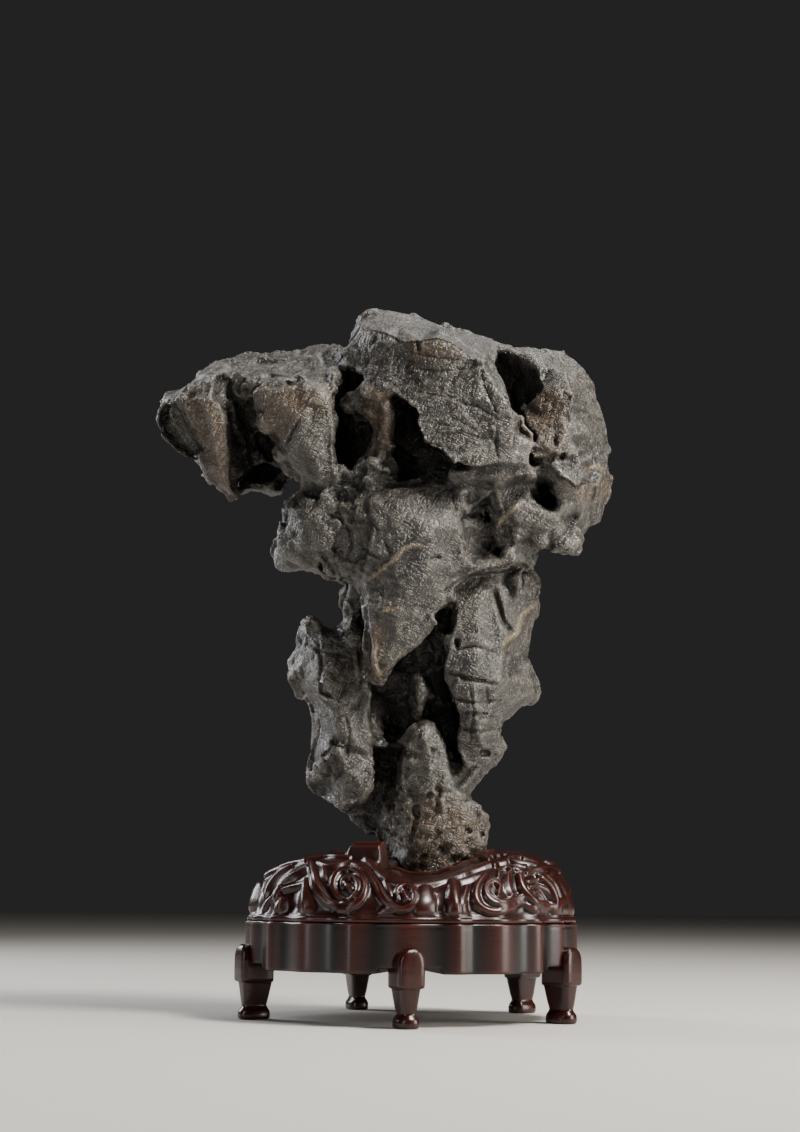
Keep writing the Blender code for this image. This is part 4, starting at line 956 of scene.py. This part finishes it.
# The carving: height in mm, how each band is cut, and its middle line, each point with its half width in mm.
BANDS = (
    # the big scroll, its inner turn and its eye
    (2.7, "double", ((309, 861, 2.6), (311, 872, 2.8), (314, 883, 3.0), (320, 893, 3.1), (329, 902, 3.0),
                     (341, 906, 2.9), (354, 903, 2.8), (362, 895, 2.6), (365, 883, 2.5), (360, 872, 2.4),
                     (350, 867, 2.3), (339, 869, 2.2), (333, 877, 2.1), (332, 887, 2.0), (337, 895, 1.8),
                     (346, 899, 1.4), (352, 896, 0.9))),
    (2.3, "round", ((340, 885, 1.0), (342, 878, 1.6), (350, 874, 2.0), (357, 879, 2.1), (358, 888, 1.9),
                    (352, 894, 1.0))),
    (2.5, "round", ((346, 884, 2.4), (350, 887, 2.6))),
    # the leaf over it and the rib inside it
    (2.0, "ridge", ((316, 859, 0.8), (328, 863, 2.6), (338, 862, 2.6), (348, 858, 0.8))),
    (1.8, "ridge", ((322, 864, 1.8), (323, 871, 1.8), (325, 878, 0.6))),
    # pointed leaves on the left
    (3.0, "ridge", ((304, 876, 0.8), (303, 886, 3.6), (303, 898, 6.4), (304, 908, 7.4), (304, 917, 7.4))),
    (2.8, "ridge", ((307, 866, 4.4), (294, 872, 4.4), (279, 882, 0.6))),
    (2.5, "ridge", ((302, 882, 3.0), (290, 886, 3.2), (276, 890, 0.6))),
    (2.8, "ridge", ((290, 864, 1.6), (277, 872, 4.6), (268, 884, 5.2), (263, 899, 1.0))),
    (2.0, "ridge", ((270, 894, 0.8), (264, 903, 2.2), (261, 916, 2.4))),
    (2.6, "round", ((250, 906, 5.5), (253, 892, 6.0), (257, 880, 4.0))),
    (2.4, "ridge", ((281, 896, 0.8), (278, 906, 5.0), (278, 917, 6.0))),
    # ropes along the crest on the left
    (2.4, "round", ((259, 878, 1.4), (268, 871, 2.2), (284, 863, 2.4), (304, 858, 1.6))),
    (2.0, "round", ((300, 859, 1.0), (314, 855, 1.8), (332, 853, 1.8), (350, 855, 1.0))),
    # the smooth lip round the front of the well
    (2.4, "round", ((348, 851, 2.0), (360, 853, 3.4), (371, 858, 3.8), (379, 867, 3.4), (387, 876, 3.0),
                    (402, 881, 3.0), (422, 882, 3.2), (445, 876, 3.4), (468, 868, 3.6), (490, 861, 3.2),
                    (506, 860, 2.0))),
    # the S from the lip to the small scroll, its eye and the strand beside it
    (2.6, "double", ((352, 862, 1.2), (362, 865, 2.3), (371, 873, 2.7), (377, 884, 2.8), (381, 894, 2.7),
                     (389, 904, 2.5), (401, 909, 2.4), (412, 904, 2.3), (416, 894, 2.1), (411, 884, 1.9),
                     (402, 883, 1.7), (396, 889, 1.5), (397, 897, 1.0))),
    (2.4, "round", ((403, 891, 2.1), (406, 896, 1.9))),
    (1.8, "ridge", ((383, 876, 0.8), (388, 886, 2.4), (390, 894, 0.8))),
    # rounded bosses between the scrolls
    (2.6, "round", ((426, 888, 4.6), (426, 900, 6.4), (426, 917, 6.6))),
    (2.6, "round", ((454, 880, 3.6), (454, 896, 5.0), (454, 917, 5.2))),
    (2.2, "round", ((467, 884, 1.4), (465, 900, 2.6), (466, 917, 3.2))),
    (1.8, "ridge", ((414, 885, 1.0), (426, 888, 2.0), (436, 890, 0.8))),
    (2.0, "ridge", ((442, 884, 1.0), (456, 880, 2.6), (470, 876, 2.6), (488, 871, 0.8))),
    (2.0, "round", ((342, 911, 5.0), (342, 918, 6.0))),
    (2.0, "round", ((386, 913, 5.0), (386, 918, 6.0))),
    # the right scroll
    (2.7, "round", ((486, 873, 1.4), (478, 883, 2.6), (476, 895, 2.9), (481, 906, 2.9), (493, 912, 2.8),
                    (508, 910, 2.5), (524, 902, 1.2))),
    (2.7, "double", ((532, 889, 1.0), (521, 897, 2.4), (508, 902, 2.8), (496, 900, 2.8), (488, 893, 2.5),
                     (487, 884, 2.2), (494, 879, 1.9), (501, 884, 1.7), (499, 891, 1.2))),
    (2.6, "ridge", ((509, 869, 1.4), (509, 880, 4.6), (513, 893, 2.6))),
    # small curls over it
    (2.2, "round", ((499, 873, 1.0), (500, 867, 1.7), (507, 865, 1.8), (512, 869, 1.6), (508, 873, 1.0))),
    (2.0, "round", ((514, 866, 1.2), (524, 868, 1.9), (536, 867, 1.6), (548, 870, 1.0))),
    (2.2, "round", ((508, 858, 1.2), (520, 860, 2.2), (534, 862, 2.2), (548, 865, 1.2))),
    # the round curl at the right and the waves in it
    (2.9, "round", ((520, 874, 2.6), (523, 885, 2.8), (530, 895, 2.8), (540, 903, 2.8), (552, 907, 2.8),
                    (563, 903, 2.8), (570, 892, 2.8), (569, 880, 2.7), (561, 871, 2.4), (550, 867, 2.1),
                    (538, 868, 1.9), (528, 872, 1.4))),
    (2.1, "round", ((531, 879, 0.8), (542, 879, 1.7), (552, 885, 1.8), (559, 897, 1.0))),
    (2.1, "round", ((531, 885, 0.8), (541, 885, 1.7), (549, 891, 1.8), (554, 901, 1.0))),
    (2.1, "round", ((534, 891, 0.8), (541, 892, 1.6), (546, 901, 0.9))),
    (2.1, "round", ((538, 873, 0.8), (548, 874, 1.7), (557, 880, 1.8), (563, 889, 1.0))),
    # the right flank
    (3.6, "round", ((546, 862, 1.6), (558, 866, 3.0), (567, 874, 3.2), (573, 885, 3.0), (574, 898, 1.6))),
    (2.4, "ridge", ((526, 903, 1.0), (536, 909, 3.6), (548, 914, 1.4))),
    (2.4, "round", ((568, 904, 1.2), (564, 911, 4.2), (562, 918, 5.0))),
    (2.4, "round", ((575, 902, 1.6), (575, 910, 3.4), (575, 918, 4.0))),
)
CUTS = {
    # how high a band stands at a share of its half width from its middle line
    "round": lambda off: np.sqrt(1 - off ** 2),
    "double": lambda off: np.sqrt(1 - off ** 2) * (1 - 0.45 * np.exp(-(off / 0.25) ** 2)),
    "ridge": lambda off: (1 - off) ** 0.85,
}
DEPTH_SHARE = 0.55                  # what a step away from the front counts beside one across it
SIDES_FROM = 36 * MM                # a band this near the middle of the front is repeated on both sides
FRONT_FROM = 60 * MM

dome = wrapped_grid("carved_top", AROUND, CROWN_START + CROWN_ROWS, dome_point)
blank = points_of(dome)
blank_tree = tree_of(dome)


def laid_on(u, v):
    """The point of the dome seen at a place of the elevation, or the nearest one if the line misses it."""
    course = sight_line(u, v).normalized()
    hit = blank_tree.ray_cast(EYE, course)[0]
    if hit is None:
        hit = blank_tree.find_nearest(EYE + course * (STAND_AXIS.y - FRONT_FROM - EYE.y) / course.y)[0]
    return hit


def placings(front):
    """Where a drawn band goes: in front, mirrored behind, and from the middle of the front to both sides."""
    yield front
    middle = front[:, :2].mean(0) - np.array(STAND_AXIS)[:2]
    turns = [(1, 0, 0, -1)]
    if abs(middle[0]) < SIDES_FROM and middle[1] < -FRONT_FROM:
        turns += [(0, -1, 1, 0), (0, -1, -1, 0)]
    for a, b, c, d in turns:
        x, y = front[:, 0] - STAND_AXIS.x, front[:, 1] - STAND_AXIS.y
        seats = np.column_stack((STAND_AXIS.x + a * x + b * y, STAND_AXIS.y + c * x + d * y, front[:, 2]))
        yield np.column_stack(([blank_tree.find_nearest(seat)[0] for seat in seats.tolist()], front[:, 3]))


def carve_bands(points):
    """How far the carving stands out of the blank dome. A band keeps its width as seen from the front, so it
    widens where the dome turns away."""
    relief = np.zeros(len(points))
    shares = np.array((1, DEPTH_SHARE, 1))
    for height, cut, corners in BANDS:
        front = np.array([(*laid_on(u, v), width * MM) for u, v, width in smooth_line(corners)])
        for band in placings(front):
            reach = band[:, 3].max() / shares
            which = within(points, band[:, :3].min(0) - reach, band[:, :3].max(0) + reach)
            gaps = np.linalg.norm((points[which][:, None, :] - band[None, :, :3]) * shares, axis=2)
            off = np.clip((gaps / band[None, :, 3]).min(1), 0, 1)
            relief[which] = np.maximum(relief[which], height * MM * CUTS[cut](off))
    return relief


relief = spread(dome, carve_bands(blank), 1)
above_bead = eased((blank[:, 2] - DOME_BOTTOM - 2 * BEAD_RADIUS) / (3.5 * MM))
from_axis = np.hypot(blank[:, 0] - STAND_AXIS.x, blank[:, 1] - STAND_AXIS.y)
ground = np.where(from_axis < CREST_RADIUS - 6 * MM, 0, CARVING_DEPTH)
carved = blank + normals_of(dome) * ((relief - ground) * above_bead)[:, None]

# The square cloud head stands proud of the crest at the left end of the lip. Its flat top tips outwards.
HEAD_TURN = math.radians(242)
HEAD_RADIUS = 58 * MM
HEAD_LENGTH = 27 * MM
HEAD_DEPTH = 15 * MM
HEAD_TOP = 105.0 * MM
HEAD_TIP = 0.42                     # how steeply the top tips
HEAD_EDGE = 4.2 * MM                # over which its rounded sides rise
out = np.array((math.cos(HEAD_TURN), math.sin(HEAD_TURN)))
aside = carved[:, :2] - np.array(STAND_AXIS)[:2] - HEAD_RADIUS * out
inset_across = HEAD_LENGTH / 2 - np.abs(aside @ np.array((-out[1], out[0])))
inset_along = HEAD_DEPTH / 2 - np.abs(aside @ out)
lifted = eased(inset_across / HEAD_EDGE) * eased(inset_along / HEAD_EDGE) * (carved[:, 2] > WALL_TOP)
carved[:, 2] += (HEAD_TOP - HEAD_TIP * (aside @ out) - carved[:, 2]) * lifted

# The well: the top is let down wherever the stone is over it, so that the stone's own underside shapes it.
WELL_GAP = 0.5 * MM
WELL_REACH = 90 * MM
WELL_FLOOR = 4 * MM                 # the least wood that is left under it
stone_tree = tree_of(skin)
for i in np.nonzero(from_axis < WELL_REACH)[0]:
    x, y, z = carved[i]
    if z > DOME_BOTTOM + 1 * MM:
        hit = stone_tree.ray_cast(Vector((x, y, DOME_BOTTOM)), Vector((0, 0, 1)))[0]
        if hit is not None and hit.z - WELL_GAP < z:
            carved[i, 2] = max(hit.z - WELL_GAP, DOME_BOTTOM + WELL_FLOOR)
place_points(dome, carved)
dome.shade_smooth()
# Its creases and the carving's ground are marked for painted shade, which the material lays on nearly black.
mark_wear_and_shade(dome, 6, 0.5 * MM)


def rosewood(name, grain_course, light, dark, roughness):
    """Dark red rosewood, scraped, waxed and polished: a sharp sheen over fine straight grain, redder where
    hands wear it, and painted shade, nearly black, in its creases and the carving's ground."""
    material, tree, shader = new_material(name)
    place = add_node(tree, "TexCoord").outputs["Object"]
    stretched = add_node(tree, "Mapping", Vector=place, Scale=grain_course)
    streak = add_node(tree, "TexNoise", Vector=stretched.outputs[0], Scale=1 / (0.8 * MM), Detail=3.0,
                      Roughness=0.55)
    cloud = add_node(tree, "TexNoise", Vector=place, Scale=1 / (40 * MM), Detail=2.0, Roughness=0.5)
    both = add_node(tree, "Math", {"operation": "MULTIPLY_ADD"}, i0=cloud.outputs["Fac"], i1=0.5,
                    i2=streak.outputs["Fac"])
    base = add_node(tree, "ValToRGB", i0=both.outputs[0])
    for stop, (position, code) in zip(base.color_ramp.elements, ((0.52, dark), (0.92, light))):
        stop.position = position
        stop.color = srgb(code)
    worn, crease = (add_node(tree, "Attribute", {"attribute_name": mark}).outputs["Fac"]
                    for mark in ("worn", "crease"))
    rubbed = add_node(tree, "MapRange", Value=worn, To_Max=0.5)
    colour = base.outputs["Color"]
    # worn edges redder; the creases painted nearly black as shade
    for cover, code in ((rubbed.outputs[0], "4c1e14"), (crease, "060202")):
        colour = add_node(tree, "Mix", {"data_type": "RGBA"}, i0=cover, i6=colour, i7=srgb(code)).outputs[2]
    tree.links.new(colour, shader.inputs["Base Color"])
    for socket, value in (("Roughness", roughness), ("Specular IOR Level", 0.35), ("Coat Weight", 0.15),
                          ("Coat Roughness", 0.16)):
        shader.inputs[socket].default_value = value
    pores = add_node(tree, "Bump", Height=streak.outputs["Fac"], Strength=0.25, Distance=0.15 * MM)
    tree.links.new(pores.outputs["Normal"], shader.inputs["Normal"])
    return material


carved_rosewood = rosewood("carved_rosewood", (0.12, 1.0, 1.0), "2a0e09", "110403", 0.29)
new_piece("carved_stand_top", dome, carved_rosewood, "stand_top")


# ---------------------------------------------------------------- the apron
# The lobed board under the dome: rosewood with its grain lengthwise, its lower edge eased, and cut a little
# higher beside each leg.
APRON_RADIUS = 102.5 * MM
APRON_BOTTOM = 30.2 * MM
APRON_TOP = 58.4 * MM
EASE = 1.0 * MM
CUT_HEIGHT = 3.2 * MM
CUT_HALF = 11.5                     # degrees to each side of a leg
APRON_ROWS = 34
# each leg's node, and the turns in degrees where it stands and that it faces
LEGS = (("leg_front", 269.0, 293.0), ("leg_right", 334.5, 318.0), ("leg_back_right", 42.5, 42.5),
        ("leg_back_left", 111.0, 111.0), ("leg_left", 195.0, 208.0))


def apron_point(turn, row):
    """Underside, eased lower edge, upright lobed side with a fine line under its top, and the hidden top."""
    degrees = np.degrees(turn)
    lift = np.zeros(len(turn))
    for _, place, _ in LEGS:
        off = np.abs((degrees - place + 180) % 360 - 180)
        lift = np.maximum(lift, CUT_HEIGHT * eased((CUT_HALF - off) / 1.2))
    lobed = APRON_RADIUS - SCALLOP * lobe_dip(turn)
    bottom = APRON_BOTTOM + lift
    last = APRON_ROWS
    up = np.clip((row - 6) / (last - 8), 0, 1)
    ease = np.clip((row - 2) / 4, 0, 1) * math.pi / 2
    radius = np.where(row < 6, lobed - EASE * (1 - np.sin(ease)), lobed)
    height = np.where(row < 6, bottom + EASE * (1 - np.cos(ease)),
                      bottom + EASE + (APRON_TOP - bottom - EASE) * up)
    radius = np.where(row == 1, lobed - 8 * MM, radius)
    height = np.where(row == 1, bottom, height)
    line = np.exp(-((height - APRON_TOP + 1.6 * MM) / (0.35 * MM)) ** 2)
    radius = radius - 0.3 * MM * line
    radius = np.where(row == last - 1, lobed - 0.5 * MM, radius)
    radius = np.where((row == 0) | (row == last), 0.0, radius)
    height = np.where(row == 0, APRON_BOTTOM, np.where(row >= last - 1, APRON_TOP, height))
    return around_axis(turn, radius, height)


apron = wrapped_grid("lobed_apron", AROUND, APRON_ROWS, apron_point)
apron.shade_smooth()
aside = points_of(apron) - np.array(STAND_AXIS)
# The valleys between the lobes are marked as shut in, so they get painted shade along with the creases.
mark_wear_and_shade(apron, 4, 1.0 * MM, lobe_dip(np.arctan2(aside[:, 1], aside[:, 0])))
straight_rosewood = rosewood("straight_rosewood", (0.06, 0.06, 1.0), "3a140d", "180605", 0.34)
new_piece("lobed_apron", apron, straight_rosewood, "stand_apron")


# ---------------------------------------------------------------- the legs
# Five bracket legs of the same rosewood, grain upright: a tab with an arched top that lies on the apron, a
# tapering leg under it, a waist, and a small pad foot.
LEG_AROUND = 64
LEG_ROWS = 90
LEG_SECTIONS = (
    # height, inner end, outer end and half width in mm
    (0.0, -13.0, 3.6, 5.4), (0.4, -14.0, 4.6, 6.3), (1.6, -14.5, 5.1, 6.8), (3.4, -14.5, 5.2, 6.8),
    (5.2, -14.2, 4.8, 6.4), (6.6, -13.4, 3.9, 5.5), (7.6, -12.6, 3.1, 4.8), (8.6, -12.3, 2.9, 4.6),
    (10.5, -12.5, 3.1, 4.9), (14.0, -13.2, 3.5, 5.4), (18.0, -14.0, 3.9, 5.9), (21.4, -14.6, 4.3, 6.3),
    (22.2, -14.8, 4.4, 6.5), (22.4, -15.0, 5.4, 7.5), (22.9, -15.0, 6.1, 8.0), (24.2, -15.0, 6.4, 8.3),
    (30.0, -15.0, 6.5, 8.3), (35.4, -15.0, 6.4, 8.3), (38.2, -15.0, 6.3, 8.0), (40.6, -15.0, 6.1, 7.2),
    (42.5, -15.0, 5.7, 6.0), (43.8, -15.0, 5.1, 4.4), (44.5, -15.0, 4.2, 2.6), (44.7, -15.0, 3.5, 1.6))
# how square a section is at a height in mm: 1 is an ellipse, towards 0 a rectangle
LEG_SQUARENESS = ((7, 0.8), (12, 0.55), (22, 0.45), (23, 0.36))


def build_leg(name, place, face):
    """One leg: level sections, each a rounded rectangle turned to the leg's own face."""
    place, face = math.radians(place), math.radians(face)
    foot = around_axis(np.array((place,)), APRON_RADIUS, np.zeros(1))
    outward = np.array((math.cos(face), math.sin(face), 0))
    sideways = np.array((-outward[1], outward[0], 0))
    sections = np.array(LEG_SECTIONS) * MM
    knots = np.concatenate(((0,), np.cumsum(np.hypot(np.diff(sections[:, 0]), np.diff(sections[:, 3])))))
    levels, squares = np.array(LEG_SQUARENESS).T

    def leg_point(turn, row):
        run = np.clip((row - 1) / (LEG_ROWS - 2), 0, 1) * knots[-1]
        height, inner, outer, half = (np.interp(run, knots, sections[:, i]) for i in range(4))
        square = np.interp(height, levels * MM, squares)
        across = np.sign(np.cos(turn)) * np.abs(np.cos(turn)) ** square
        along = np.sign(np.sin(turn)) * np.abs(np.sin(turn)) ** square
        shrink = np.where((row == 0) | (row == LEG_ROWS), 0.0, 1.0)
        reach = (inner + outer) / 2 + (outer - inner) / 2 * across * shrink
        return (foot + outward * reach[:, None] + sideways * (half * along * shrink)[:, None]
                + np.outer(height, (0, 0, 1)))

    mesh = wrapped_grid(name, LEG_AROUND, LEG_ROWS, leg_point)
    mesh.shade_smooth()
    # its creases are marked for painted shade
    mark_wear_and_shade(mesh, 4, 0.6 * MM)
    return mesh


upright_rosewood = rosewood("upright_rosewood", (1.0, 1.0, 0.08), "2e0f0a", "130504", 0.26)
for leg_name, leg_place, leg_face in LEGS:
    bracket = "bracket_" + leg_name
    new_piece(bracket, build_leg(bracket, leg_place, leg_face), upright_rosewood, leg_name)


# ---------------------------------------------------------------- the room
# A plain pale floor and soft studio light: a high key and a low box on the right, one overhead, a cool rim
# behind on the left, a weak fill, and a low strip that gives the stand's lobes their sheen.
LIGHTS = (
    # name, place, width and height in metres, watts, colour, and the height that it is turned to
    ("key", (0.85, -0.55, 1.45), 0.4, 0.5, 50, "fffaf3", 0.2),
    ("side", (1.36, -0.42, 0.42), 0.8, 0.8, 22, "fffaf3", 0.1),
    ("top", (0.35, 0.25, 1.5), 1.1, 0.7, 10, "ffffff", 0.2),
    ("rim", (-1.12, 0.78, 0.85), 0.3, 1.1, 20, "fcfcff", 0.2),
    ("fill", (-0.9, -1.3, 0.95), 0.5, 0.7, 1.5, "ffffff", 0.2),
    ("sheen", (-1.1, -0.85, 0.3), 0.22, 0.8, 3.5, "fcfcff", 0.05),
)
for light_name, place, width, height, power, tint, target in LIGHTS:
    light_data = bpy.data.lights.new(light_name, "AREA")
    light_data.shape = "RECTANGLE"
    light_data.size = width
    light_data.size_y = height
    light_data.energy = power
    light_data.color = srgb(tint)[:3]
    light = placed(light_name, light_data)
    light.location = place
    light.rotation_euler = (Vector((0, 0, target)) - Vector(place)).to_track_quat("-Z", "Y").to_euler()

floor_bm = bmesh.new()
bmesh.ops.create_grid(floor_bm, x_segments=1, y_segments=1, size=6.0)
floor_mesh = bpy.data.meshes.new("floor")
floor_bm.to_mesh(floor_mesh)
floor_bm.free()
floor = placed("floor", floor_mesh)
floor_material, _, floor_shader = new_material("pale_floor")
floor_shader.inputs["Base Color"].default_value = srgb("bfbcb7")
floor_shader.inputs["Roughness"].default_value = 0.7
floor_mesh.materials.append(floor_material)

world = bpy.data.worlds.new("studio")
bpy.context.scene.world = world
world.use_nodes = True
world.node_tree.nodes["Background"].inputs["Color"].default_value = srgb("b9b9b9")
world.node_tree.nodes["Background"].inputs["Strength"].default_value = 0.045
